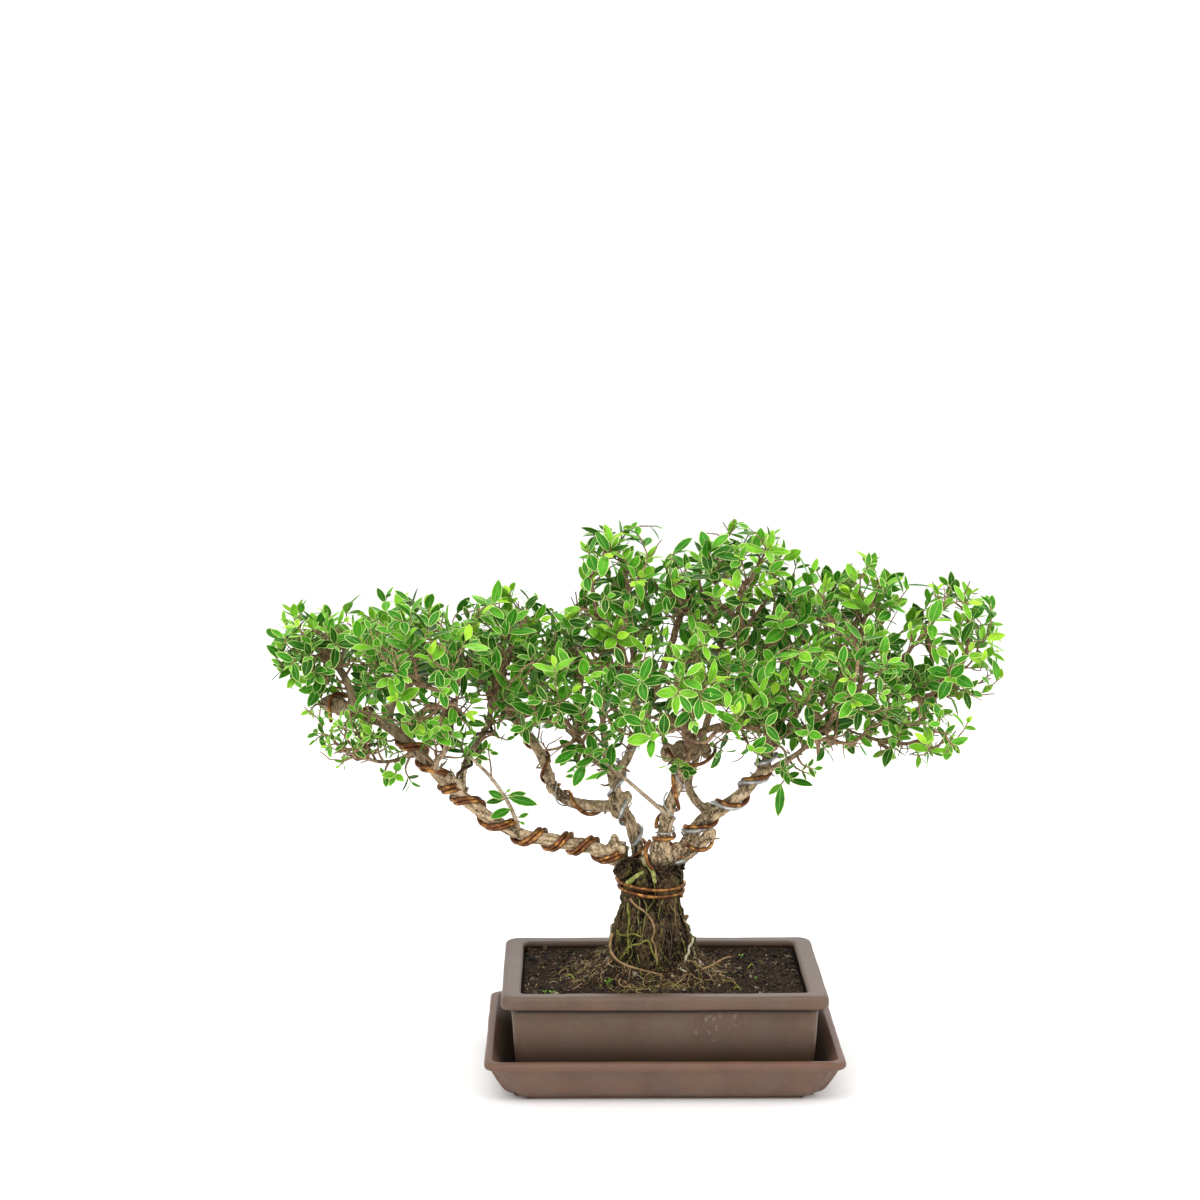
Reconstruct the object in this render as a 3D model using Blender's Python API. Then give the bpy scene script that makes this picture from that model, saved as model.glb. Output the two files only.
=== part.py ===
"""Serissa bonsai: a wired, spreading little tree in a rectangular stoneware pot on its drip tray.

Metres, +Z up, +X along the longest reach of the crown, -Y the side the tree is shown from.
The origin is the middle of the tray's flat underside.  Sizes below are in millimetres and
are brought to metres by MM as the meshes are made.
"""

import math
import random

import bmesh
import bpy
from mathutils import Vector
from mathutils.bvhtree import BVHTree

MM = 0.001
GAP = 0.3                       # clearance between neighbouring solids
UP = Vector((0.0, 0.0, 1.0))

# ---------------------------------------------------------------- pot, tray and soil
TRAY_HALF = (132.2, 104.1)      # outer rim, half width and half depth
TRAY_HEIGHT = 32.8
TRAY_BAND = 6.5                 # height of the rim band
TRAY_FOOT_INSET = 21.5          # how far the foot lies inside the rim
TRAY_FLOOR = 5.0
TRAY_CORNER = 9.0
TRAY_NOTCH = 4.2                # re-entrant corner of the flared side
# points round a cut corner, in from its two sides as shares of the cut
NOTCH_STEPS = ((0.0, 2.0), (0.9, 1.9), (1.6, 1.6), (1.9, 0.9), (2.0, 0.0))
TRAY_UNDER = TRAY_HEIGHT - TRAY_BAND
# from the foot to the floor: inset from the outer rim, height, whether the corners are cut inward
TRAY_PROFILE = (
    (TRAY_FOOT_INSET + 1.2, 0.0, True),
    (TRAY_FOOT_INSET, 1.4, True),
    (5.0, TRAY_UNDER - 0.8, True),
    (1.2, TRAY_UNDER, False),
    (0.0, TRAY_UNDER + 1.6, False),
    (0.0, TRAY_HEIGHT - 1.8, False),
    (1.6, TRAY_HEIGHT, False),
    (6.0, TRAY_HEIGHT, False),
    (7.0, TRAY_HEIGHT - 1.2, False),
    (TRAY_FOOT_INSET + 4.0, TRAY_FLOOR + 1.6, False),
    (TRAY_FOOT_INSET + 5.5, TRAY_FLOOR, False),
)

POT_HALF = (120.0, 92.2)        # outer rim
POT_TOP = 79.0
POT_BASE = TRAY_FLOOR + GAP
POT_RIM_HEIGHT = 10.5
POT_RIM_WIDTH = 14.8
POT_RIM_OVERHANG = 9.0
POT_TAPER = 3.6                 # how much narrower the body is at its foot, each side
POT_WALL = 4.6
POT_FLOOR = 6.5
POT_LIP = 4.5                   # depth of the lip above the recessed inner wall
POT_RECESS = 1.6
POT_CORNER = 6.5
POT_UNDER = POT_TOP - POT_RIM_HEIGHT
POT_FOOT_INSET = POT_RIM_OVERHANG + POT_TAPER
# from the foot up over the rim to the recess: inset from the outer rim, height
POT_PROFILE = (
    (POT_FOOT_INSET + 7.5, POT_BASE),
    (POT_FOOT_INSET + 1.5, POT_BASE + 4.5),
    (POT_FOOT_INSET, POT_BASE + 8.0),
    (POT_RIM_OVERHANG, POT_UNDER - 2.0),
    (POT_RIM_OVERHANG - 1.5, POT_UNDER - 0.4),
    (1.2, POT_UNDER),
    (0.0, POT_UNDER + 1.8),
    (0.0, POT_TOP - 2.2),
    (0.9, POT_TOP - 0.6),
    (2.4, POT_TOP),
    (POT_RIM_WIDTH - 1.6, POT_TOP),
    (POT_RIM_WIDTH, POT_TOP - 1.4),
    (POT_RIM_WIDTH, POT_TOP - POT_LIP),
    (POT_RIM_WIDTH - POT_RECESS, POT_TOP - POT_LIP - 1.2),
)
FLOOR_EASE = 2.0                # how the inner walls of the pot turn into its floor

SOIL_TOP = 71.0
MOUND_CENTRE = Vector((-8.0, 3.0))
MOUND_RADII = Vector((70.0, 52.0))
MOUND_RISE = 15.0
# from the bed up to the flat crown: share of the mound's radii, height over the bed
MOUND_RINGS = ((1.12, 0.5), (0.92, 4.2), (0.74, 10.8), (0.60, MOUND_RISE))

# ---------------------------------------------------------------- trunk
TRUNK_BASE = SOIL_TOP + MOUND_RISE + GAP
TRUNK_TOP = 160.0
TRUNK_SIDES = 14
TRUNK_LOBES = 5                 # swellings round the trunk, deeper and less turned at its foot
LOBE_DEPTH = 0.07
LOBE_TURN = 2.4
# height share, centre x, centre y, half width, half depth
TRUNK_RINGS = (
    (0.00, -8.0, 2.0, 35.0, 30.0),
    (0.10, -8.0, 2.0, 32.5, 28.0),
    (0.26, -8.5, 2.0, 28.8, 25.0),
    (0.42, -9.0, 1.0, 24.0, 22.0),
    (0.58, -8.2, 0.0, 20.0, 19.0),
    (0.70, -8.0, 0.0, 21.5, 19.5),
    (0.86, -8.5, 0.0, 24.5, 20.5),
    (0.97, -9.0, 0.0, 22.5, 18.5),
    (1.04, -9.0, 0.0, 13.0, 11.0),
)

# ---------------------------------------------------------------- limbs
LIMB_SIDES = 7
LIMB_STEP = 13.0
LIMB_THINNING = 0.8             # below 1 a limb thins faster near its root
# name, limb or trunk it grows from, start and end diameter, route from the root to the tip
LIMBS = (
    ("bough_left", "trunk", 11.2, 8.2,
     ((-20, -5, 154), (-46, -12, 170.5), (-62, -14, 175.5), (-86, -16, 180), (-107, -18, 185), (-133, -20, 200), (-162, -20, 225),
      (-186, -18, 251), (-204, -16, 266), (-228, -14, 277), (-252, -12, 284))),
    ("bough_left_tip", "bough_left", 7.6, 5.4,
     ((-229, -14, 279), (-233, -12, 293), (-239, -10, 306), (-248, -8, 317))),
    ("bough_left_side", "bough_left", 6.0, 4.8,
     ((-150, -20, 216), (-148, -15, 234), (-142, -8, 247), (-132, 0, 261), (-128, 6, 276))),
    ("bough_left_fork", "bough_left", 5.2, 3.8,
     ((-168, -20, 232), (-168, -34, 243), (-161, -42, 253), (-159, -49, 270), (-160, -54, 286))),
    ("bough_left_rear", "bough_left", 5.8, 4.4,
     ((-204, -16, 266), (-203, -2, 275), (-200, 16, 284), (-196, 36, 292))),
    ("bough_left_low", "bough_left", 4.6, 2.8,
     ((-184, -18, 249), (-194, -28, 244), (-208, -36, 243), (-220, -41, 247))),
    ("bough_centre_left", "trunk", 11.2, 7.2,
     ((-15, 4, 150), (-19, 8, 171), (-24, 10, 188), (-31.5, 12, 202), (-35, 12, 220),
      (-27, 8, 236), (-20, 4, 252))),
    ("bough_mid_low", "bough_centre_left", 8.4, 8.0,
     ((-31, 13, 200), (-54, 22, 198), (-72, 30, 201), (-83, 36, 210))),
    ("bough_mid_rise", "bough_mid_low", 8.0, 6.0,
     ((-83, 36, 210), (-88, 40, 226), (-96, 44, 241), (-110, 49, 258))),
    ("bough_centre_rear", "bough_centre_left", 6.0, 4.6,
     ((-36, 12, 213), (-40, 30, 224), (-43, 46, 240), (-44, 56, 256))),
    ("bough_centre_side", "bough_centre_left", 5.2, 3.6,
     ((-36, 12, 224), (-46, -4, 234), (-55, -18, 243), (-60, -27, 254))),
    ("bough_centre", "trunk", 14.0, 8.2,
     ((-2, -15, 150), (-1, -20, 170), (2, -22, 190), (5, -26, 208), (12, -32, 228), (16, -38, 246))),
    ("bough_back", "bough_right", 7.8, 5.4,
     ((36, -9, 197), (26, 10, 204), (21, 30, 214), (27, 50, 227), (33, 62, 244))),
    ("bough_right", "trunk", 13.0, 8.0,
     ((4, -4, 152), (17.5, -8, 174), (29, -10, 192), (48, -12, 205), (64, -14, 219),
      (76, -16, 236), (79, -16, 250), (78, -16, 262))),
    ("bough_right_stub", "bough_right", 9.6, 9.2,
     ((14, -9, 164), (26, -18, 175), (36, -25, 187))),
    ("bough_right_long", "bough_right", 6.6, 4.0,
     ((78, -16, 254), (92, -12, 259), (134, -4, 269), (164, 4, 276), (196, 8, 284))),
    ("bough_right_fork", "bough_right", 5.4, 4.0,
     ((72, -15, 229), (86, -33, 240), (100, -46, 252), (110, -54, 264))),
    ("bough_right_rear", "bough_right_long", 5.4, 4.2,
     ((92, -12, 259), (97, 8, 264), (104, 26, 270), (112, 44, 280))),
    ("bough_right_top", "bough_right_long", 4.8, 3.8,
     ((112, -9, 264), (118, -7, 280), (130, -3, 296))),
    ("bough_right_low", "bough_right_long", 3.8, 2.8,
     ((130, -4, 268), (138, -16, 263), (150, -26, 260))),
)

# ---------------------------------------------------------------- training wire
WIRE_SIDES = 4
WIRE_STEPS = 7                  # straight lengths in one turn
WIRE_REACH = 2.0                # where a side limb passes between the turns, out from the bark
WIRE_SLACK = 0.5                # room for the bends of the bough under the wire
WIRE_MARGIN = 8.0               # how far past a wire's ends a side limb still guides it
WIRE_RUN_ON = 300.0             # the winding carries on evenly this far past the last side limb
WIRE_TURN = math.pi / 4         # a wire's square section lies flat on the bark
# name, limb, material, wire diameter, pitch of the winding (below 0 if it turns left-handed),
# start and end along the limb, lag
WIRES = (
    ("wire_left_a", "bough_left", "copper_wire", 3.2, -22.5, 26.0, 216.0, 0.0),
    ("wire_left_b", "bough_left", "copper_wire", 3.2, -22.5, 26.0, 213.0, 4.3),
    ("wire_right_copper", "bough_right", "copper_wire", 3.2, 32.0, 46.0, 116.0, 0.0),
    ("wire_right_silver", "bough_right", "silver_wire", 3.2, 32.0, 46.0, 116.0, 4.8),
    ("wire_centre_left", "bough_centre_left", "silver_wire", 3.0, 28.0, 26.0, 92.0, 0.0),
    ("wire_centre", "bough_centre", "copper_wire", 2.8, -44.0, 38.0, 84.0, 0.0),
)
RING_WIRE = 3.2
RING_HEIGHTS = (133.0, 144.0)   # the trunk's wire climbs between these
RING_TURNS = 2.0
RING_TILT = 2.5                 # how far the trunk's wire dips at the front and rises at the back

# ---------------------------------------------------------------- foliage masses
# name, bough whose tip carries it, centre, radii, shoots
MASSES = (
    ("mass_left_tip", "bough_left_tip", (-263, -8, 322), (42, 42, 38), 6),
    ("mass_left_low", "bough_left_low", (-225, -46, 263), (38, 30, 24), 5),
    ("mass_left_front", "bough_left_fork", (-182, -56, 320), (54, 44, 50), 8),
    ("mass_left_rear", "bough_left_rear", (-200, 52, 314), (56, 46, 46), 7),
    ("mass_left_mid", "bough_left_side", (-122, -6, 320), (48, 50, 52), 8),
    ("mass_mid_rear", "bough_mid_rise", (-108, 68, 304), (54, 44, 48), 7),
    ("mass_crown_left", "bough_centre_left", (-34, -4, 354), (44, 46, 78), 9),
    ("mass_crown_rear_left", "bough_centre_rear", (-38, 72, 320), (52, 44, 58), 7),
    ("mass_centre_left", "bough_centre_side", (-72, -40, 288), (44, 42, 48), 6),
    ("mass_centre_front", "bough_centre", (10, -74, 294), (58, 42, 54), 9),
    ("mass_crown_rear", "bough_back", (42, 74, 326), (60, 46, 68), 9),
    ("mass_crown_right", "bough_right", (62, -6, 356), (54, 44, 74), 10),
    ("mass_right_front", "bough_right_fork", (124, -64, 302), (56, 44, 56), 8),
    ("mass_right_rear", "bough_right_rear", (132, 62, 316), (60, 46, 58), 8),
    ("mass_right_mid", "bough_right_top", (148, 0, 346), (46, 46, 46), 7),
    ("mass_right_tip", "bough_right_long", (206, 6, 318), (53, 54, 60), 9),
    ("mass_right_low", "bough_right_low", (182, -38, 264), (46, 30, 24), 5),
)
# name, bough it stands on, thick and thin end, route of its stem, shares of the stem with leaves
SPRIGS = (
    ("sprig_left", "bough_left", 2.6, 2.2,
     ((-107, -18, 187), (-114, -22, 207), (-127, -25, 228), (-139, -27, 241), (-150, -28, 252)),
     (0.22, 0.42, 0.98)),
    ("sprig_centre", "bough_centre", 2.8, 2.2,
     ((4, -27, 200), (-13, -38, 217), (-28, -43, 231), (-42, -48, 243), (-56, -52, 252)),
     (0.80, 0.98)),
    ("sprig_right", "bough_right", 2.6, 2.2,
     ((79, -16, 252), (89, -13, 249), (93, -13, 240), (94, -14, 230)),
     (0.72, 0.98)),
)

# ---------------------------------------------------------------- leaves and twigs
LEAF_LENGTH = 29.0
LEAF_WIDTH = 14.5
LEAF_THICKNESS = 1.3
LEAF_SPREAD = 0.85              # how far a leaf leans out from its twig
LEAF_RISE = 0.15                # how far a leaf turns up
LEAF_TRIES = 6
STEEP = 0.9                     # rise of a twig past which its leaves lie any way round
LEAF_ROOT = 0.15                # how far a leaf's root lies past the middle of its twig
SPRIG_LEAF = 0.85               # size of a leaf on a side sprig, against one in the crown
PAIRS_PER_SHOOT = 3
PAIR_SPACING = 8.5
PAIR_LEAN = 0.3                 # how much less each lower pair leans with its twig
LEAF_BELLY = 0.47               # where a leaf is widest, as a share of its length
LEAF_SIZES = (0.85, 1.12)
FACE_LEAN = 0.7                 # how much a leaf's upper side faces along its twig
FACE_WANDER = 0.25
HEADING_WANDER = (0.15, 0.12)   # of a leaf's heading at its first try, and more for each further one
TIP_LENGTH = 1.8                # bare end of a twig past its last pair
TWIG_SIDES = 3
TWIG_TIP = 1.5                  # radius of a twig where its leaves stand
STEM_RADIUS = 2.3
STEM_TAPER = (1.0, 0.95, 0.85, 0.75)
STEM_KNEE = 12.0                # length of a stem that carries its bough straight on
STEM_ARCH = 2.0                 # how far a stem bows up
HEART_DROP = 0.3                # how far below the middle of a mass its stem ends, as a share
TWIG_THICK = 1.9                # largest radius at a twig's root
TWIG_SHORTEST = 10.0
TWIG_JOIN = 4.5                 # length in which a new twig may touch the one it grows from
TWIG_JOINTS = 4                 # joints tried for each twig
TRAIL_WEIGHT = 0.4              # how much a joint far from the bough is avoided
SHOOT_REACH = (0.55, 0.8)       # how far out a shoot ends, as a share of its mass's radius
SHOOT_TURN = 0.3                # how unevenly shoots are spread round a mass
SHOOT_SHORTEST = 6.0
BETWEEN_MASSES = 2.0            # width of the free space kept between two masses
PAD = 0.5                       # clearance that a twig or leaf keeps from what it doesn't join

COLOURS = {
    # base colour, roughness, metallic
    "stoneware": ((0.19, 0.135, 0.11, 1.0), 0.72, 0.0),
    "soil": ((0.028, 0.02, 0.014, 1.0), 0.95, 0.0),
    "old_bark": ((0.05, 0.037, 0.024, 1.0), 0.92, 0.0),
    "bark": ((0.33, 0.245, 0.165, 1.0), 0.85, 0.0),
    "copper_wire": ((0.36, 0.17, 0.08, 1.0), 0.38, 0.85),
    "silver_wire": ((0.55, 0.56, 0.58, 1.0), 0.4, 0.85),
    "foliage": ((0.1, 0.3, 0.06, 1.0), 0.45, 0.0),
}


# ================================================================ curves and rings
def curve_through(points, step=6.0):
    """Points about step apart on a smooth curve through the given ones."""
    knots = [Vector(p) for p in points]
    knots = [knots[0] * 2 - knots[1]] + knots + [knots[-1] * 2 - knots[-2]]
    curve = [knots[1]]
    for a, b, c, d in zip(knots, knots[1:], knots[2:], knots[3:]):
        count = max(1, round((c - b).length / step))
        for i in range(1, count + 1):
            t = i / count
            curve.append(0.5 * (2 * b + (c - a) * t + (2 * a - 5 * b + 4 * c - d) * t ** 2
                                + (3 * b - a - 3 * c + d) * t ** 3))
    return curve


def lengths_along(points):
    """Distance of each point from the first, along the line."""
    total = [0.0]
    for a, b in zip(points, points[1:]):
        total.append(total[-1] + (b - a).length)
    return total


def frames_along(points):
    """Tangent and two normals at each point, carried along without twisting."""
    frames = []
    normal = None
    for i, point in enumerate(points):
        ahead = points[min(i + 1, len(points) - 1)]
        behind = points[max(i - 1, 0)]
        tangent = (ahead - behind).normalized()
        if normal is None:
            normal = tangent.orthogonal().normalized()
        normal = (normal - tangent * normal.dot(tangent)).normalized()
        frames.append((tangent, normal, tangent.cross(normal)))
    return frames


def rounded_ring(half, corner, height, points=4):
    """A rectangle with round corners, the same number of points in each corner."""
    ring = []
    for quarter in range(4):
        sx = (1, -1, -1, 1)[quarter]
        sy = (1, 1, -1, -1)[quarter]
        for i in range(points):
            angle = (quarter + i / (points - 1)) * math.pi / 2
            ring.append(Vector((sx * (half[0] - corner) + corner * math.cos(angle),
                                sy * (half[1] - corner) + corner * math.sin(angle), height)))
    return ring


def notched_ring(half, notch, height):
    """A rectangle whose corners are cut inward, five points in each corner."""
    ring = []
    for quarter in range(4):
        sx = (1, -1, -1, 1)[quarter]
        sy = (1, 1, -1, -1)[quarter]
        for dx, dy in (NOTCH_STEPS if quarter % 2 == 0 else reversed(NOTCH_STEPS)):
            ring.append(Vector((sx * (half[0] - dx * notch), sy * (half[1] - dy * notch), height)))
    return ring


# ================================================================ meshes and objects
def material(name):
    """The named surface as a Principled material, made once."""
    found = bpy.data.materials.get(name)
    if found:
        return found
    colour, roughness, metallic = COLOURS[name]
    made = bpy.data.materials.new(name)
    made.use_nodes = True
    shader = made.node_tree.nodes["Principled BSDF"]
    shader.inputs["Base Color"].default_value = colour
    shader.inputs["Roughness"].default_value = roughness
    shader.inputs["Metallic"].default_value = metallic
    return made


def loft(rings):
    """Vertices and faces of a closed body through rings of equal point counts."""
    size = len(rings[0])
    verts = [p for ring in rings for p in ring]
    faces = [list(range(size))[::-1]]
    for k in range(len(rings) - 1):
        for i in range(size):
            j = (i + 1) % size
            faces.append([k * size + i, k * size + j, (k + 1) * size + j, (k + 1) * size + i])
    faces.append([(len(rings) - 1) * size + i for i in range(size)])
    return verts, faces


def tube(points, radii, sides, turn=0.0):
    """A closed round body along a line of points."""
    rings = []
    for point, radius, (_, n, b) in zip(points, radii, frames_along(points)):
        angles = [turn + 2 * math.pi * i / sides for i in range(sides)]
        rings.append([point + (n * math.cos(a) + b * math.sin(a)) * radius for a in angles])
    return loft(rings)


def make(name, shape, surface, smooth=True):
    """An object in metres from vertices and faces in millimetres, faces pointing out."""
    mesh = bpy.data.meshes.new(name)
    mesh.from_pydata([tuple(v * MM) for v in shape[0]], [], shape[1])
    edit = bmesh.new()
    edit.from_mesh(mesh)
    bmesh.ops.recalc_face_normals(edit, faces=edit.faces)
    edit.to_mesh(mesh)
    edit.free()
    mesh.materials.append(material(surface))
    if smooth:
        mesh.shade_smooth()
    made = bpy.data.objects.new(name, mesh)
    bpy.context.scene.collection.objects.link(made)
    return made


def remove(item):
    """Take an object and its mesh out of the file."""
    mesh = item.data
    bpy.data.objects.remove(item)
    bpy.data.meshes.remove(mesh)


def apply_modifiers(item):
    """Keep the evaluated mesh in place of the modifiers."""
    graph = bpy.context.evaluated_depsgraph_get()
    fresh = bpy.data.meshes.new_from_object(item.evaluated_get(graph))
    old = item.data
    item.modifiers.clear()
    item.data = fresh
    bpy.data.meshes.remove(old)
    fresh.name = item.name


def keep_largest(item):
    """Drop every loose scrap but the largest body."""
    edit = bmesh.new()
    edit.from_mesh(item.data)
    groups = []
    left = set(edit.verts)
    while left:
        front = [left.pop()]
        group = set(front)
        while front:
            for edge in front.pop().link_edges:
                for vert in edge.verts:
                    if vert in left:
                        left.remove(vert)
                        group.add(vert)
                        front.append(vert)
        groups.append(group)
    groups.sort(key=len)
    scraps = [vert for group in groups[:-1] for vert in group]
    bmesh.ops.delete(edit, geom=scraps, context="VERTS")
    edit.to_mesh(item.data)
    edit.free()


def cut_away(item, shape):
    """Take a shape out of an object."""
    cutter = make(item.name + "_cutter", shape, "bark")
    cutter.hide_render = True
    cutter.display_type = "WIRE"
    cut = item.modifiers.new("cut", "BOOLEAN")
    cut.operation = "DIFFERENCE"
    cut.solver = "EXACT"
    cut.object = cutter
    apply_modifiers(item)
    remove(cutter)
    keep_largest(item)


def is_closed(item):
    """Whether every edge of an object lies between two faces."""
    edit = bmesh.new()
    edit.from_mesh(item.data)
    closed = all(len(edge.link_faces) == 2 for edge in edit.edges)
    edit.free()
    return closed


def fuse(name, shapes, surface, solver="EXACT"):
    """One object from overlapping closed shapes, the first of which carries the others."""
    base = make(name, shapes[0], surface, smooth=False)
    group = bpy.data.collections.new(name + "_pieces")
    bpy.context.scene.collection.children.link(group)
    pieces = [make(f"{name}_piece_{i}", shape, surface, smooth=False)
              for i, shape in enumerate(shapes[1:])]
    for piece in pieces:
        bpy.context.scene.collection.objects.unlink(piece)
        group.objects.link(piece)
    union = base.modifiers.new("union", "BOOLEAN")
    union.operation = "UNION"
    union.solver = solver
    union.operand_type = "COLLECTION"
    union.collection = group
    apply_modifiers(base)
    for piece in pieces:
        remove(piece)
    bpy.data.collections.remove(group)
    keep_largest(base)
    if solver == "EXACT" and not is_closed(base):
        remove(base)
        return fuse(name, shapes, surface, "MANIFOLD")
    return base


def tree_of(shape):
    """A search tree over a shape in millimetres."""
    return BVHTree.FromPolygons([tuple(v) for v in shape[0]], shape[1])


def shape_of(item):
    """The vertices in millimetres and the faces of an object."""
    return [v.co / MM for v in item.data.vertices], [list(p.vertices) for p in item.data.polygons]


# ================================================================ pot, tray, soil
def inset(half, amount):
    """Half sizes drawn in by an amount on every side."""
    return (half[0] - amount, half[1] - amount)


def build_tray():
    """The drip tray: a flared dish with a plain rim band and re-entrant corners."""
    rings = []
    for amount, height, notched in TRAY_PROFILE:
        half = inset(TRAY_HALF, amount)
        if notched:
            rings.append(notched_ring(half, TRAY_NOTCH, height))
        else:
            rings.append(rounded_ring(half, TRAY_CORNER, height, points=5))
    make("tray", loft(rings), "stoneware")


def pot_inside(height):
    """Half sizes of the pot's inner wall at a height."""
    share = (POT_TOP - height) / (POT_TOP - POT_BASE)
    body = inset(POT_HALF, POT_RIM_OVERHANG + POT_TAPER * share)
    return inset(body, POT_WALL)


def build_pot():
    """The pot: a tapering box under a broad flat rim, its inner wall recessed below a lip."""
    floor = POT_BASE + POT_FLOOR
    rings = [rounded_ring(inset(POT_HALF, amount), POT_CORNER, height) for amount, height in POT_PROFILE]
    rings.append(rounded_ring(pot_inside(floor + FLOOR_EASE), POT_CORNER, floor + FLOOR_EASE))
    rings.append(rounded_ring(inset(pot_inside(floor), FLOOR_EASE), POT_CORNER, floor))
    make("pot", loft(rings), "stoneware")


def mound_ring(share, height, outline):
    """A ring round the trunk's foot, a share of the mound's radii, aimed as an outline is."""
    ring = []
    for point in outline:
        angle = math.atan2(point.y / MOUND_RADII.y, point.x / MOUND_RADII.x)
        ring.append(Vector((MOUND_CENTRE.x + MOUND_RADII.x * share * math.cos(angle),
                            MOUND_CENTRE.y + MOUND_RADII.y * share * math.sin(angle), height)))
    return ring


def build_soil():
    """The soil that fills the pot, heaped into a mound with a flat crown under the trunk."""
    floor = POT_BASE + POT_FLOOR + GAP
    wall = pot_inside(floor + FLOOR_EASE)
    edge = rounded_ring(inset(pot_inside(SOIL_TOP), GAP), POT_CORNER, SOIL_TOP, points=6)
    rings = [
        rounded_ring(inset(wall, FLOOR_EASE + 2 * GAP), POT_CORNER, floor, points=6),
        rounded_ring(inset(wall, GAP), POT_CORNER, floor + FLOOR_EASE, points=6),
        edge,
    ]
    rings += [mound_ring(share, SOIL_TOP + rise, edge) for share, rise in MOUND_RINGS]
    make("soil", loft(rings), "soil")


# ================================================================ trunk and limbs
def trunk_point(angle, share, grow=0.0):
    """A point of the trunk's surface, by direction round it and share of its height."""
    below = max(ring for ring in TRUNK_RINGS[:-1] if ring[0] <= share + 1e-6)
    above = TRUNK_RINGS[TRUNK_RINGS.index(below) + 1]
    t = (share - below[0]) / (above[0] - below[0])
    cx, cy, half_x, half_y = (a + (b - a) * t for a, b in zip(below[1:], above[1:]))
    lobes = 1 + LOBE_DEPTH * (1.1 - share) * math.cos(TRUNK_LOBES * angle + LOBE_TURN * share)
    return Vector((cx + (half_x * lobes + grow) * math.cos(angle),
                   cy + (half_y * lobes + grow) * math.sin(angle),
                   TRUNK_BASE + (TRUNK_TOP - TRUNK_BASE) * share))


def trunk_shape(grow=0.0):
    """The trunk's rings, from the flat cut on the mound up to the rounded fork."""
    rings = []
    for share, *_ in TRUNK_RINGS:
        angles = [2 * math.pi * i / TRUNK_SIDES for i in range(TRUNK_SIDES)]
        rings.append([trunk_point(a, share, grow) for a in angles])
    for vert in rings[-1]:
        vert.z += grow
    return loft(rings)


class Limb:
    """A bough: its smooth route, its radius along it and the solid made from them."""

    def __init__(self, name, parent, thick, thin, route):
        self.name = name
        self.parent = parent
        self.points = curve_through(route, LIMB_STEP)
        self.along = lengths_along(self.points)
        self.length = self.along[-1]
        self.frames = frames_along(self.points)
        self.ends = (thick / 2, thin / 2)

    def radius(self, distance):
        """Radius at a distance along the limb, which thins faster near its root."""
        share = min(max(distance / self.length, 0.0), 1.0)
        return self.ends[0] + (self.ends[1] - self.ends[0]) * share ** LIMB_THINNING

    def shape(self, grow=0.0, sides=LIMB_SIDES):
        """The limb's solid, grown on all sides."""
        radii = [self.radius(d) + grow for d in self.along]
        points = list(self.points)
        if grow:
            points[0] = points[0] - self.frames[0][0] * grow
            points[-1] = points[-1] + self.frames[-1][0] * grow
        return tube(points, radii, sides)

    def at(self, distance):
        """Point and frame at a distance along the limb."""
        i = max(k for k, d in enumerate(self.along[:-1]) if d <= distance + 1e-6)
        t = (distance - self.along[i]) / (self.along[i + 1] - self.along[i])
        point = self.points[i].lerp(self.points[i + 1], t)
        tangent, normal, _ = self.frames[i]
        far = self.frames[i + 1]
        tangent = tangent.lerp(far[0], t).normalized()
        normal = normal.lerp(far[1], t)
        normal = (normal - tangent * normal.dot(tangent)).normalized()
        return point, (tangent, normal, tangent.cross(normal))

    def nearest(self, place, steps=200):
        """Distance along the limb of the point that lies nearest to a place."""
        distances = [self.length * k / steps for k in range(steps)]
        return min(distances, key=lambda d: (self.at(d)[0] - place).length)


def build_limbs():
    """Every bough, each cut clear of the trunk and of the boughs made before it."""
    limbs = {}
    trunk = tree_of(trunk_shape(GAP))
    for name, parent, thick, thin, route in LIMBS:
        limb = Limb(name, parent, thick, thin, route)
        item = make(name, limb.shape(), "bark")
        own = tree_of(limb.shape())
        if own.overlap(trunk):
            cut_away(item, trunk_shape(GAP))
        for other in limbs.values():
            if own.overlap(tree_of(other.shape(GAP))):
                cut_away(item, other.shape(GAP))
        limbs[name] = limb
    return limbs


# ================================================================ wire
def winding_keys(limb, side_limbs, pitch, start, end):
    """Places along a limb and the wire's angle there, opposite each side limb's root."""
    keys = []
    for side in side_limbs:
        for place in curve_through(side.points, step=1.0):
            distance = limb.nearest(place)
            point, (tangent, normal, binormal) = limb.at(distance)
            out = place - point
            out -= tangent * out.dot(tangent)
            if out.length > limb.radius(distance) + WIRE_REACH:
                break
        keys.append((distance, math.atan2(out.dot(binormal), out.dot(normal)) + math.pi))
    keys.sort()
    keys = [key for key in keys if start - WIRE_MARGIN < key[0] < end + WIRE_MARGIN]
    if not keys:
        return [(start, 0.0), (end, 2 * math.pi * (end - start) / pitch)]
    unwrapped = [keys[0]]
    for distance, angle in keys[1:]:
        last_distance, last_angle = unwrapped[-1]
        wanted = last_angle + 2 * math.pi * (distance - last_distance) / pitch
        angle += 2 * math.pi * round((wanted - angle) / (2 * math.pi))
        unwrapped.append((distance, angle))
    turn = 2 * math.pi * WIRE_RUN_ON / pitch
    before = (unwrapped[0][0] - WIRE_RUN_ON, unwrapped[0][1] - turn)
    after = (unwrapped[-1][0] + WIRE_RUN_ON, unwrapped[-1][1] + turn)
    return [before, *unwrapped, after]


def angle_at(keys, distance):
    """The wire's angle at a distance, straight between its keys."""
    for (d0, a0), (d1, a1) in zip(keys, keys[1:]):
        if distance <= d1:
            return a0 + (a1 - a0) * (distance - d0) / (d1 - d0)
    return keys[-1][1]


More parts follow.
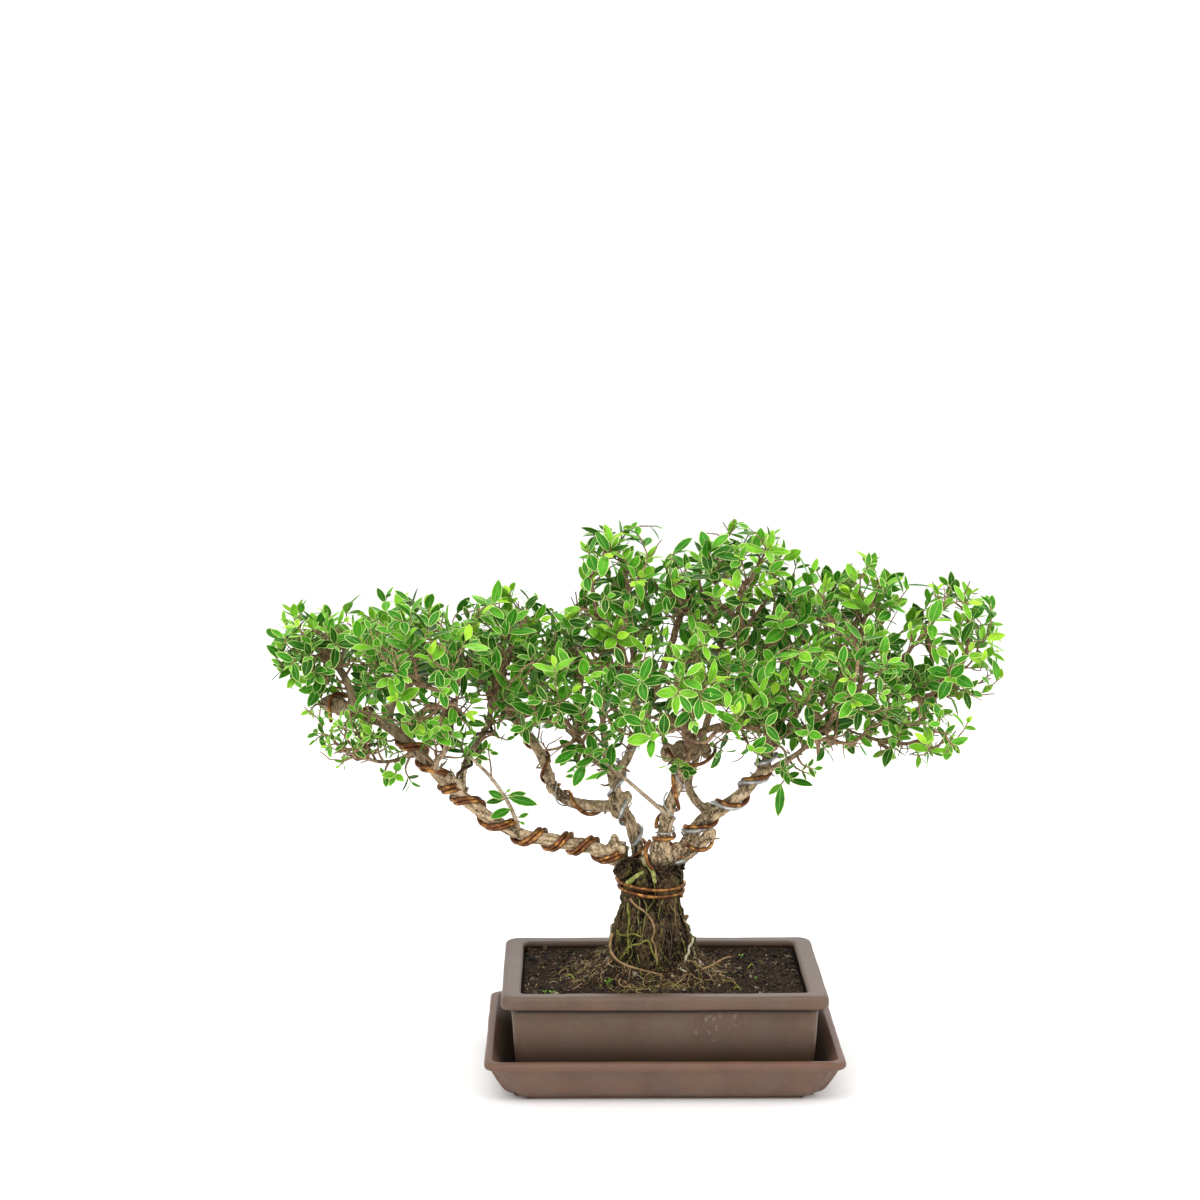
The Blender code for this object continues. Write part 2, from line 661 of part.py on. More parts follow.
def wire_route(limb, side_limbs, diameter, pitch, start, end, lag):
    """Points of a wire wound on a limb."""
    keys = winding_keys(limb, side_limbs, pitch, start, end)
    turns = (angle_at(keys, end) - angle_at(keys, start)) / (2 * math.pi)
    count = round(abs(turns) * WIRE_STEPS)
    points = []
    for i in range(count + 1):
        distance = start + (end - start) * i / count
        point, (_, normal, binormal) = limb.at(distance)
        angle = angle_at(keys, distance - lag)
        clear = limb.radius(distance) + GAP + diameter / 2 + WIRE_SLACK
        clear /= math.cos(math.pi / WIRE_STEPS)
        points.append(point + (normal * math.cos(angle) + binormal * math.sin(angle)) * clear)
    return points


def build_wires(limbs, sprigs):
    """The training wires on the boughs and the one that is tied round the trunk."""
    solids = []
    for name, on, surface, diameter, pitch, start, end, lag in WIRES:
        sides = [limb for limb in list(limbs.values()) + sprigs if limb.parent == on]
        points = wire_route(limbs[on], sides, diameter, pitch, start, end, lag)
        shape = tube(points, [diameter / 2] * len(points), WIRE_SIDES, WIRE_TURN)
        solids.append(make(name, shape, surface))
    points = []
    count = round(RING_TURNS * TRUNK_SIDES)
    for i in range(count + 1):
        angle = 2 * math.pi * i / TRUNK_SIDES
        height = RING_HEIGHTS[0] + (RING_HEIGHTS[1] - RING_HEIGHTS[0]) * i / count
        height += RING_TILT * math.sin(angle)
        share = (height - TRUNK_BASE) / (TRUNK_TOP - TRUNK_BASE)
        points.append(trunk_point(angle, share, GAP + RING_WIRE / 2))
    shape = tube(points, [RING_WIRE / 2] * len(points), WIRE_SIDES, WIRE_TURN)
    solids.append(make("wire_trunk", shape, "copper_wire"))
    return solids


# ================================================================ leaves and twigs
def leaf_shape(root, lead, face, length, width, thickness):
    """A leaf: a pointed blade with its midrib below and its two sides folded up from it."""
    across = lead.cross(face).normalized()
    face = across.cross(lead).normalized()
    belly = root + lead * length * LEAF_BELLY + face * thickness
    sides = [belly + across * width / 2, belly - across * width / 2]
    verts = [root, sides[0], root + lead * length, sides[1]]
    return verts, [(0, 1, 2), (0, 2, 3), (0, 3, 1), (1, 3, 2)]


class Space:
    """The ellipsoid that a foliage mass keeps to, bounded by its neighbours' own."""

    def __init__(self, centre, radii):
        self.centre = Vector(centre)
        self.radii = Vector(radii)
        self.mean = sum(radii) / 3

    def level(self, point):
        """Rough distance outside the ellipsoid, negative within it."""
        away = point - self.centre
        scaled = Vector((away.x / self.radii.x, away.y / self.radii.y, away.z / self.radii.z))
        return (scaled.length - 1) * self.mean


def owns(space, spaces, point):
    """Whether a point is inside a space and nearer to it than to any other."""
    level = space.level(point)
    if level > 0:
        return False
    return all(level + BETWEEN_MASSES < other.level(point) for other in spaces if other is not space)


def leaf_places(twig, pairs):
    """Where the opposite pairs stand on a twig: root, twig direction and side to lean to."""
    tip = twig[-1]
    lead = (twig[-1] - twig[-2]).normalized()
    steep = abs(lead.z) > STEEP
    side = lead.orthogonal().normalized() if steep else lead.cross(UP).normalized()
    places = []
    for pair in range(pairs):
        root = tip - lead * (TIP_LENGTH + pair * PAIR_SPACING)
        for sign in (1, -1):
            places.append((root, lead * (1 - PAIR_LEAN * pair), side * sign))
        side = lead.cross(side)
    return places


def leaf_lie(place, rng, wander, scale):
    """One way for a leaf to lie: root, heading, upper side and length."""
    root, lead, side = place
    heading = lead + side * LEAF_SPREAD + UP * LEAF_RISE
    heading += Vector([rng.uniform(-wander, wander) for _ in range(3)])
    face = lead * FACE_LEAN + UP
    face += Vector([rng.uniform(-FACE_WANDER, FACE_WANDER) for _ in range(3)])
    return root, heading.normalized(), face, LEAF_LENGTH * scale * rng.uniform(*LEAF_SIZES)


class Grower:
    """Adds twigs and leaves one at a time and skips what would touch something else."""

    def __init__(self, name, fixed):
        self.rng = random.Random(name)
        self.fixed = fixed
        self.shapes = []
        self.trees = []

    def free(self, padded, joined=()):
        """Whether a padded shape clears all that it isn't joined to."""
        tree = tree_of(padded)
        if any(tree.overlap(other) for other in self.fixed):
            return False
        return not any(tree.overlap(other) for i, other in enumerate(self.trees) if i not in joined)

    def add(self, shape):
        self.shapes.append(shape)
        self.trees.append(tree_of(shape))
        return len(self.shapes) - 1

    def leaf(self, twig_index, place, inside, scale=1.0):
        """Fuse a leaf on where one of a few tries stays inside and clear."""
        for attempt in range(LEAF_TRIES):
            wander = HEADING_WANDER[0] + HEADING_WANDER[1] * attempt
            root, heading, face, length = leaf_lie(place, self.rng, wander, scale)
            root = root - heading * LEAF_ROOT
            if not inside(root + heading * length):
                continue
            width = length * LEAF_WIDTH / LEAF_LENGTH
            foot = root + heading * TWIG_TIP * 1.5
            wide = leaf_shape(foot, heading, face, length, width + 2 * PAD, LEAF_THICKNESS + 2 * PAD)
            if self.free(wide, (twig_index,)):
                self.add(leaf_shape(root, heading, face, length, width, LEAF_THICKNESS))
                return


def mass_stem(limb, heart):
    """A mass's stem from just off its bough's tip to the heart of the mass, and its radii."""
    point, (lead, _, _) = limb.at(limb.length)
    start = point + lead * (GAP + 0.05)
    knee = start + lead * min(STEM_KNEE, (heart - start).length * 0.4)
    stem = [start, knee, knee.lerp(heart, 0.5) + UP * STEM_ARCH, heart]
    return stem, [STEM_RADIUS * share for share in STEM_TAPER]


def shoot_targets(space, shoots, inside, rng):
    """Even places round a mass for its shoots to end at."""
    targets = []
    golden = math.pi * (3 - math.sqrt(5))
    for i in range(shoots):
        z = 1 - 2 * (i + 0.5) / shoots
        ring = math.sqrt(1 - z * z)
        angle = golden * i + rng.uniform(-SHOOT_TURN, SHOOT_TURN)
        reach = rng.uniform(*SHOOT_REACH)
        away = Vector((ring * math.cos(angle), ring * math.sin(angle), z)) * reach
        target = space.centre + Vector(a * r for a, r in zip(away, space.radii))
        while not inside(target) and (target - space.centre).length > SHOOT_SHORTEST:
            target = target.lerp(space.centre, 0.12)
        targets.append(target)
    return targets


def grow_twig(grower, joints, start, target):
    """A twig to a target from the nearest joint that it can grow from freely, with its root."""
    def cost(joint):
        return (target - joint[0]).length + TRAIL_WEIGHT * (joint[0] - start).length
    for root, joined, radius in sorted(joints, key=cost)[:TWIG_JOINTS]:
        reach = (target - root).length
        if reach < TWIG_SHORTEST:
            continue
        thick = min(radius * 0.9, TWIG_THICK)
        clear = root.lerp(target, TWIG_JOIN / reach)
        wide = tube([clear, target], [thick + PAD, TWIG_TIP + PAD], TWIG_SIDES)
        if grower.free(wide, {joined}):
            turn = grower.rng.uniform(0, 2)
            index = grower.add(tube([root, target], [thick, TWIG_TIP], TWIG_SIDES, turn))
            joints.append((root.lerp(target, 0.5), index, (thick + TWIG_TIP) / 2))
            return root, index
    return None, None


def build_mass(name, limb, space, spaces, shoots, fixed):
    """One mass: a stem from its bough's tip, twigs out to its shoots and leaves on them."""
    grower = Grower(name, fixed)
    heart = space.centre - UP * space.radii.z * HEART_DROP
    stem, radii = mass_stem(limb, heart)
    stem_index = grower.add(tube(stem, radii, TWIG_SIDES))
    end = heart - (heart - stem[2]).normalized() * STEM_RADIUS * 2
    joints = [(place, stem_index, radius) for place, radius in zip([*stem[1:3], end], radii[1:])]

    def inside(place):
        return owns(space, spaces, place)

    targets = shoot_targets(space, shoots, inside, grower.rng)
    targets.sort(key=lambda target: (target - heart).length)
    for target in targets:
        root, index = grow_twig(grower, joints, stem[0], target)
        if root is None:
            continue
        pairs = min(PAIRS_PER_SHOOT, int((target - root).length / PAIR_SPACING))
        for place in leaf_places([root, target], pairs):
            grower.leaf(index, place, inside)
    return grower


def build_sprig(sprig, shares, fixed):
    """A thin side twig with its own few leaves, standing on a bough."""
    grower = Grower(sprig.name, fixed)
    base = grower.add(sprig.shape(sides=TWIG_SIDES))
    for share in shares:
        point, (lead, _, _) = sprig.at(sprig.length * share)
        pairs = 2 if share == shares[-1] else 1
        for place in leaf_places([point - lead, point], pairs):
            grower.leaf(base, place, lambda spot: True, SPRIG_LEAF)
    return grower


# ================================================================ the whole plant
def build():
    """Clear the scene and make every piece."""
    for item in list(bpy.data.objects):
        bpy.data.objects.remove(item)
    build_tray()
    build_pot()
    build_soil()
    make("trunk", trunk_shape(), "old_bark")
    limbs = build_limbs()
    sprigs = [Limb(*sprig[:5]) for sprig in SPRIGS]
    wires = build_wires(limbs, sprigs)
    fixed = [tree_of(trunk_shape(GAP))]
    fixed += [tree_of(limb.shape(GAP)) for limb in limbs.values()]
    fixed += [tree_of(shape_of(wire)) for wire in wires]
    for sprig, (*_, shares) in zip(sprigs, SPRIGS):
        grower = build_sprig(sprig, shares, fixed[:1])
        item = fuse(sprig.name, grower.shapes, "foliage")
        cut_away(item, limbs[sprig.parent].shape(GAP))
        fixed += grower.trees
    spaces = [Space(centre, radii) for _, _, centre, radii, _ in MASSES]
    for space, (name, on, _, _, shoots) in zip(spaces, MASSES):
        grower = build_mass(name, limbs[on], space, spaces, shoots, fixed)
        fuse(name, grower.shapes, "foliage")
        fixed += grower.trees


build()
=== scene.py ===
"""Serissa bonsai: its finished looks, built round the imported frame.

Laid out as an add-on with a panel in the sidebar, and run as a script.  Sizes are in
millimetres and are brought to metres by MM where meshes are made.  +X runs along the longest
reach of the crown, -Y is the front and +Z is up.
"""

from itertools import product
from math import atan2, ceil, copysign, cos, pi, radians, sin, sqrt

import bpy
import numpy as np
from numpy.linalg import norm
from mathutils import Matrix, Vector
from mathutils.bvhtree import BVHTree


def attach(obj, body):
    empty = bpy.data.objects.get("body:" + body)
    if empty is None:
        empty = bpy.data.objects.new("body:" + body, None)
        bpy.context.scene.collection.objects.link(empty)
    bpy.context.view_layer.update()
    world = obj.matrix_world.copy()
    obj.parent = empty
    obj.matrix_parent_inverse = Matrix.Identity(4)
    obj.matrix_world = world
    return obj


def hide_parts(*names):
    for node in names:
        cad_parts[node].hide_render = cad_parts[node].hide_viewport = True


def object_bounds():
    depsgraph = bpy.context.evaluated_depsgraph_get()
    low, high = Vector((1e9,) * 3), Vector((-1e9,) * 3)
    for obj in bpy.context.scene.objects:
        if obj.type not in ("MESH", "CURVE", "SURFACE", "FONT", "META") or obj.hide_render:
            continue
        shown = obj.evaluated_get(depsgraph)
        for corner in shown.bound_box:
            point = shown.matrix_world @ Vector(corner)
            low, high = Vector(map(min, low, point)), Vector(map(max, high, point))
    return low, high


bl_info = {
    "name": "Serissa bonsai",
    "version": (1, 0, 0),
    "blender": (4, 5, 0),
    "location": "3D View > Sidebar > Bonsai",
    "description": "A wired serissa bonsai in a stoneware pot on its drip tray",
    "category": "Add Mesh",
}

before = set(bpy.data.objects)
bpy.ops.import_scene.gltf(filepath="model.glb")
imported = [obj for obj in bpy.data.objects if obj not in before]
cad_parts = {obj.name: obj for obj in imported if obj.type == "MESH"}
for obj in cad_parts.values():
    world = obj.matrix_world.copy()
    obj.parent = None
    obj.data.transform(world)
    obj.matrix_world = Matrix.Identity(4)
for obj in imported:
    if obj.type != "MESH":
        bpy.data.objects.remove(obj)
CAD_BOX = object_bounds()
ROOT = "root"
MM = 0.001
UP = Vector((0.0, 0.0, 1.0))

# -------- sizes shared with the solids
TRAY_HALF = (132.2, 104.1)
TRAY_HEIGHT = 32.8
TRAY_BAND = 6.5
TRAY_FOOT_INSET = 21.5
TRAY_FLOOR = 5.0
TRAY_CORNER = 9.0
TRAY_BITE = 8.4  # radius of the re-entrant corner of the flared side

POT_HALF = (120.0, 92.2)
POT_TOP = 79.0
POT_BASE = 5.3
POT_RIM_HEIGHT = 10.5
POT_RIM_WIDTH = 14.8
POT_RIM_OVERHANG = 7.4
POT_TAPER = 3.6
POT_WALL = 6.2
POT_FLOOR = 6.5
POT_LIP = 4.5
POT_RECESS = 1.6
POT_CORNER = 6.5
POT_RIM_CORNER = 9.0

SOIL_TOP = 71.0
TRUNK_BASE = 86.3
TRUNK_TOP = 160.0
TRUNK_TALL = TRUNK_TOP - TRUNK_BASE
TRUNK_LOBES = 5
# height share, centre x, centre y, half width, half depth
TRUNK_RINGS = (
    (-0.06, -8.0, 2.0, 36.5, 31.5),
    (0.00, -8.0, 2.0, 35.0, 30.0),
    (0.10, -8.0, 2.0, 32.5, 28.0),
    (0.26, -8.5, 2.0, 28.8, 25.0),
    (0.42, -9.0, 1.0, 24.0, 22.0),
    (0.58, -8.2, 0.0, 20.0, 19.0),
    (0.70, -8.0, 0.0, 21.5, 19.5),
    (0.86, -8.5, 0.0, 24.5, 20.5),
    (0.97, -9.0, 0.0, 22.5, 18.5),
    (1.04, -9.0, 0.0, 13.0, 11.0),
)

# name, start and end diameter, route from the root to the tip
LIMBS = (
    ("bough_left", 11.2, 8.2,
     ((-20, -5, 154), (-46, -12, 170.5), (-62, -14, 175.5), (-86, -16, 180), (-107, -18, 185),
      (-133, -20, 200), (-162, -20, 225), (-186, -18, 251), (-204, -16, 266), (-228, -14, 277),
      (-252, -12, 284))),
    ("bough_left_tip", 7.6, 5.4,
     ((-229, -14, 279), (-233, -12, 293), (-239, -10, 306), (-248, -8, 317))),
    ("bough_left_side", 6.0, 4.8,
     ((-150, -20, 216), (-148, -15, 234), (-142, -8, 247), (-132, 0, 261), (-128, 6, 276))),
    ("bough_left_fork", 5.2, 3.8,
     ((-168, -20, 232), (-168, -34, 243), (-161, -42, 253), (-159, -49, 270), (-160, -54, 286))),
    ("bough_left_rear", 5.8, 4.4,
     ((-204, -16, 266), (-203, -2, 275), (-200, 16, 284), (-196, 36, 292))),
    ("bough_left_low", 4.6, 2.8,
     ((-184, -18, 249), (-194, -28, 244), (-208, -36, 243), (-220, -41, 247))),
    ("bough_centre_left", 11.2, 7.2,
     ((-15, 4, 150), (-19, 8, 171), (-24, 10, 188), (-31.5, 12, 202), (-35, 12, 220),
      (-27, 8, 236), (-20, 4, 252))),
    ("bough_mid_low", 9.4, 9.0,
     ((-31, 13, 200), (-54, 22, 198), (-72, 30, 201), (-83, 36, 210))),
    ("bough_mid_rise", 9.0, 6.4,
     ((-83, 36, 210), (-88, 40, 226), (-96, 44, 241), (-110, 49, 258))),
    ("bough_centre_rear", 6.0, 4.6,
     ((-36, 12, 213), (-40, 30, 224), (-43, 46, 240), (-44, 56, 256))),
    ("bough_centre_side", 5.2, 3.6,
     ((-36, 12, 224), (-46, -4, 234), (-55, -18, 243), (-60, -27, 254))),
    ("bough_centre", 14.0, 8.2,
     ((-2, -15, 150), (-1, -20, 170), (2, -22, 190), (5, -26, 208), (12, -32, 228), (16, -38, 246))),
    ("bough_back", 7.8, 5.4,
     ((36, -9, 197), (26, 10, 204), (21, 30, 214), (27, 50, 227), (33, 62, 244))),
    ("bough_right", 13.0, 8.0,
     ((4, -4, 152), (17.5, -8, 174), (29, -10, 192), (48, -12, 205), (64, -14, 219),
      (76, -16, 236), (79, -16, 250), (78, -16, 262))),
    ("bough_right_stub", 9.6, 9.2,
     ((14, -9, 164), (26, -18, 175), (36, -25, 187))),
    ("bough_right_long", 6.6, 4.0,
     ((78, -16, 254), (92, -12, 259), (134, -4, 269), (164, 4, 276), (196, 8, 284))),
    ("bough_right_fork", 5.4, 4.0,
     ((72, -15, 229), (86, -33, 240), (100, -46, 252), (110, -54, 264))),
    ("bough_right_rear", 5.4, 4.2,
     ((92, -12, 259), (97, 8, 264), (104, 26, 270), (112, 44, 280))),
    ("bough_right_top", 4.8, 3.8,
     ((112, -9, 264), (118, -7, 280), (130, -3, 296))),
    ("bough_right_low", 3.8, 2.8,
     ((130, -4, 268), (138, -16, 263), (150, -26, 260))),
)

# name, bough whose tip carries it, centre, radii, shoots
MASSES = (
    ("mass_left_tip", "bough_left_tip", (-263, -8, 322), (42, 42, 38), 6),
    ("mass_left_low", "bough_left_low", (-225, -46, 263), (38, 30, 24), 5),
    ("mass_left_front", "bough_left_fork", (-182, -56, 320), (54, 44, 50), 8),
    ("mass_left_rear", "bough_left_rear", (-200, 52, 314), (56, 46, 46), 7),
    ("mass_left_mid", "bough_left_side", (-122, -6, 320), (48, 50, 52), 8),
    ("mass_mid_rear", "bough_mid_rise", (-108, 68, 304), (54, 44, 48), 7),
    ("mass_crown_left", "bough_centre_left", (-34, -4, 354), (44, 46, 78), 9),
    ("mass_crown_rear_left", "bough_centre_rear", (-38, 72, 320), (52, 44, 58), 7),
    ("mass_centre_left", "bough_centre_side", (-72, -40, 288), (44, 42, 48), 6),
    ("mass_centre_front", "bough_centre", (10, -74, 294), (58, 42, 54), 9),
    ("mass_crown_rear", "bough_back", (42, 74, 326), (60, 46, 68), 9),
    ("mass_crown_right", "bough_right", (62, -6, 356), (54, 44, 74), 10),
    ("mass_right_front", "bough_right_fork", (124, -64, 302), (56, 44, 56), 8),
    ("mass_right_rear", "bough_right_rear", (132, 62, 316), (60, 46, 58), 8),
    ("mass_right_mid", "bough_right_top", (148, 0, 346), (46, 46, 46), 7),
    ("mass_right_tip", "bough_right_long", (206, 6, 318), (53, 54, 60), 9),
    ("mass_right_low", "bough_right_low", (182, -38, 264), (46, 30, 24), 5),
)
# smaller clumps that close the hollows between the masses, grown by the same rule
FILLS = (
    ("fill_left", "bough_left_fork", (-172, -52, 270), (38, 26, 20), 4),
    ("fill_crown", "bough_centre_left", (14, -6, 362), (24, 36, 30), 4),
    ("fill_centre", "bough_centre", (66, -66, 282), (24, 24, 30), 4),
    ("fill_right", "bough_right", (76, -42, 286), (24, 26, 36), 5),
)
# name, thick and thin end, route of its stem, shares of the stem with leaves
SPRIGS = (
    ("sprig_left", 3.6, 2.2,
     ((-107, -18, 187), (-114, -22, 207), (-127, -25, 228), (-139, -27, 241), (-150, -28, 252)),
     (0.98,)),
    ("sprig_centre", 3.6, 2.4,
     ((4, -27, 200), (-13, -38, 217), (-28, -43, 231), (-42, -48, 243), (-56, -52, 252)),
     (0.80, 0.98)),
    ("sprig_right", 2.4, 1.6,
     ((79, -16, 252), (89, -13, 249), (93, -13, 240), (94, -14, 230)),
     ()),
)
# the sprigs' own leaves: stalk end, tip, width, kind
SPRIG_LEAVES = {
    "sprig_left": (
        ((-118.6, -24, 213), (-130.2, -27, 219.4), 6.5, 1),
        ((-115.4, -24, 213.8), (-93.1, -31, 209.9), 8.6, 1),
        ((-115.6, -24, 215.1), (-101.2, -22, 217), 5.2, 1),
        ((-118.6, -24, 211.8), (-131.7, -29, 211.5), 6.2, 0),
        ((-113.2, -24, 205), (-128.4, -31, 200.5), 9.0, 1),
        ((-108, -21, 197.8), (-99.8, -23, 201.5), 4.0, 1),
        ((-106.8, -21, 194.8), (-102.6, -23, 193), 3.0, 2),
        ((-116.8, -24, 217.6), (-113.1, -25, 220.5), 2.6, 3),
        ((-129.0, -25, 242.1), (-139.4, -28, 246.9), 4.2, 0),
        ((-129.8, -25, 250), (-128.5, -26, 255.5), 2.8, 2),
        ((-128.6, -25, 247.8), (-121.9, -27, 247.3), 3.8, 1),
    ),
    "sprig_centre": (
        ((-58.2, -50, 243.9), (-67.0, -54, 227.7), 8.6, 1),
        ((-39.8, -48, 238.2), (-58.5, -54, 233.0), 4.2, 2),
        ((-64.5, -50, 254), (-81.0, -58, 246), 9.0, 1),
        ((-55, -51, 250), (-44, -60, 257), 6.0, 2),
    ),
    "sprig_right": (
        ((88.5, -14, 221.5), (86.7, -18, 197.2), 8.0, 1),
        ((94.0, -14, 224.4), (112.5, -18, 222.5), 7.6, 1),
        ((92.6, -14, 226.4), (102.6, -12, 230.1), 6.0, 1),
        ((89.0, -14, 222.0), (78.6, -19, 214.5), 5.0, 2),
        ((92.0, -13, 240), (84.1, -19, 229.6), 8.4, 1),
    ),
}
# fine twigs beside the sprigs: group, points
TWIGLETS = (
    ("left", ((-127.5, -25, 227), (-128, -26, 238), (-130, -25, 251))),
    ("centre", ((-42, -48, 243), (-39, -49, 240), (-39.8, -48, 238.2))),
    ("centre", ((-56, -52, 252), (-58, -51, 248), (-58.2, -50, 243.9))),
    ("right", ((94, -14, 230), (91.5, -14, 225.5), (88.5, -14, 221.5))),
)
SMALL_LEAVED = {"mass_left_low": 0.6, "mass_left_tip": 0.88, "mass_right_low": 0.85}
SPUR_GAP = 5.2  # distance between the leafy spurs of a bough
SPUR_LOW = 212.0  # heights where bare and leafy spurs begin
SPUR_LEAFY = 238.0
BARE_SPUR = 0.4  # length of a bare spur, as a share of a leafy one's
LONGEST_STALK = 7.0  # of the sprigs' own leaves

# where the wound wires cross the front of their limb, and the turn they are on there
LEFT_TURNS = ((24.0, 0), (47.5, 1), (64.5, 2), (86.0, 3), (111.0, 4), (144.5, 5), (157.0, 6),
              (165.5, 6.75), (178.0, 7), (200.0, 8))
RIGHT_TURNS = ((43.0, 0), (64.0, 0.6), (72.5, 1), (102.0, 2), (119.5, 3))
# name, limb, finish, wire diameter, hand, start and end along the limb, lag, turns
WIRES = (
    ("wire_left_a", "bough_left", "copper", 3.4, -1, 14.0, 216.0, -1.9, LEFT_TURNS),
    ("wire_left_b", "bough_left", "copper", 3.4, -1, 14.0, 213.0, 1.9, LEFT_TURNS),
    ("wire_right_silver", "bough_right", "silver", 3.4, 1, 36.0, 123.0, -1.9, RIGHT_TURNS),
    ("wire_right_copper", "bough_right", "copper", 3.4, 1, 38.0, 118.0, 1.9, RIGHT_TURNS),
    ("wire_centre_left", "bough_centre_left", "silver", 3.0, 1, 22.0, 92.0, 0.0,
     ((23.1, 0), (50.9, 1), (70.2, 2), (98.0, 3))),
    ("wire_centre", "bough_centre", "copper", 3.0, -1, 38.0, 86.0, 0.0, ((29.2, 0), (73.2, 1), (117.2, 2))),
)
WIRE_SWAY = 0.08  # how much more slowly a winding crosses the front, by its pitch
WIRE_STEPS = 26  # points of a winding to each turn
# shorter windings: limb, finish, diameter, pitch, where it crosses the front, turns
FINE_WIRES = (
    ("bough_left_side", "dark", 2.4, 23.0, 18.0, 1.3),
    ("bough_left_side", "dark", 2.4, 20.0, 50.0, 1.4),
    ("bough_left_fork", "dark", 2.4, 34.0, 46.0, 1.3),
    ("bough_left", "copper", 3.1, -24.0, 247.0, 0.9),
    ("bough_right", "copper", 3.0, 40.0, 18.0, 0.9),
    ("bough_right", "silver", 3.0, 44.0, 13.0, 0.9),
    ("bough_right_stub", "copper", 3.0, 26.0, 20.0, 0.9),
    ("bough_centre_left", "copper", 3.0, 24.0, 15.0, 1.2),
    ("bough_centre_left", "silver", 1.1, 20.0, 68.0, 0.9),
    ("bough_centre_left", "silver", 1.2, 30.0, 104.0, 0.8),
    ("bough_mid_low", "copper", 3.1, 40.0, 34.0, 0.9),
    ("bough_mid_low", "silver", 1.1, 28.0, 54.0, 1.2),
    ("bough_mid_rise", "copper", 2.6, 30.0, 16.0, 1.6),
    ("bough_centre", "copper", 2.9, 9.0, 34.0, 1.4),
    ("bough_centre", "silver", 1.2, 9.0, 38.5, 1.2),
    ("bough_centre", "silver", 1.1, -30.0, 57.0, 0.7),
    ("bough_centre", "silver", 1.1, -26.0, 83.0, 0.8),
)
# separate bent lengths: finish, diameter, points
BENT_WIRES = (
    ("copper", 3.1, ((-236, -6, 287), (-243, -12, 290), (-247, -20, 287), (-247.5, -22, 281),
                     (-246.5, -21, 271))),
    ("copper", 2.8, ((2, -38, 255), (5, -45, 250), (12, -49, 245), (21, -49, 242.5), (30, -47, 244.5),
                     (37, -41, 250), (38, -33, 254))),
    ("copper", 3.0, ((-10, -26, 181), (-12.8, -28, 173), (-11.5, -29.5, 165), (-8, -28.8, 160.5))),
)
RING_WIRE = 3.2
RING_HEIGHTS = (136.0, 146.5)
RING_TURNS = 2.0
RING_STEPS = 52  # points to each turn
RING_TILT = 2.5  # how far the ring dips at the front and rises at the back
RING_LEAN = 3.0  # how far it rises at the left and dips at the right

# knots and burls that swell the wood: centre, radius
BURLS = (
    ((-3.7, -22, 173), 7.0), ((4, -20, 165), 6.8), ((10, -16, 172), 5.4), ((-7, -24, 164), 4.8),
    ((3, -37, 250), 6.0), ((12, -38, 251), 7.0), ((22, -37, 252), 6.5), ((31, -36, 251), 5.0),
    ((-37, -11, 174), 5.0), ((-31, -9, 169), 6.5), ((-36, -10, 179), 3.4), ((-152, -22, 222), 5.2),
    ((-158, -24, 229), 4.0), ((-247, -12, 283), 6.2), ((-240, -12, 281), 6.0), ((-243, -8, 288), 4.4),
    ((-33, 12, 199), 7.6), ((-37, 8, 205), 4.2), ((-13.5, -18, 166), 4.0), ((36, -24, 184), 3.8),
    ((33, -5, 191), 6.4), ((34, 2, 199), 5.0), ((-83, 36, 210), 5.2), ((77, -15, 250), 5.6),
    ((14, 12, 158), 7.0), ((-30, 12, 154), 7.0), ((-6, 19, 150), 6.0), ((-26, 13, 206), 4.4),
)

# roots that cling to the trunk and run into the soil: finish, thick and thin radius, points
TRUNK_ROOTS = (
    ("root_tan", 1.1, 0.7, ((-38, -22, 109), (-39.5, -26, 99), (-35, -31, 92), (-26, -36, 88),
        (-13, -39, 85), (-2, -42, 83))),
    ("root_tan", 0.9, 0.7, ((-25, -19, 132), (-18, -24, 128), (-11, -26, 124), (-5.8, -28, 116),
        (-8.8, -29, 108), (-5.8, -30, 98), (-3.7, -34, 89))),
    ("root_pale", 1.05, 0.8, ((24, -4, 102), (24, -10, 98), (22.4, -18, 94), (19, -27, 87), (17, -33, 83))),
    ("root_green", 0.8, 0.6, ((-31, -29, 90), (-27, -30, 99), (-25, -29, 103), (-18.6, -29, 107),
        (-11, -30, 103), (-6.7, -32, 94), (-5, -35, 88))),
    ("root_tan", 1.0, 0.7, ((30, -26, 83), (36, -25, 85), (42, -23, 88), (46, -21, 90), (51.6, -19, 90.5))),
    ("root_green", 0.8, 0.6, ((-31, -17, 131), (-29, -22, 118), (-27, -26, 105), (-26, -30, 95))),
    ("root_green", 0.8, 0.6, ((-38, -17, 109), (-30, -23, 108.8), (-19, -27, 108.5))),
    ("root_pale", 2.1, 1.6, ((-14, -26.5, 168.5), (-12.6, -27, 166), (-12.2, -27, 164.4))),
    ("moss", 1.9, 1.3, ((-26, -16, 147), (-21, -20, 152), (-14.7, -21, 156.5))),
    ("moss", 2.0, 1.4, ((-14, -22, 163), (-9, -23, 161.5), (-7, -23, 156), (-5.8, -22, 149))),
    ("root_tan", 1.6, 1.0, ((20, 22, 112), (22, 26, 102), (17, 31, 93), (8, 35, 87), (-4, 38, 83))),
    ("root_green", 1.0, 0.8, ((-20, 22, 124), (-24, 25, 112), (-21, 29, 100), (-25, 32, 90))),
    ("root_pale", 1.3, 0.9, ((-38, 10, 108), (-41, 14, 98), (-40, 20, 90), (-45, 25, 83))),
)


# ======== settings
def colour_setting(name, description, value):
    return bpy.props.FloatVectorProperty(name=name, description=description, subtype="COLOR", size=3,
                                         default=value, min=0.0, max=1.0)


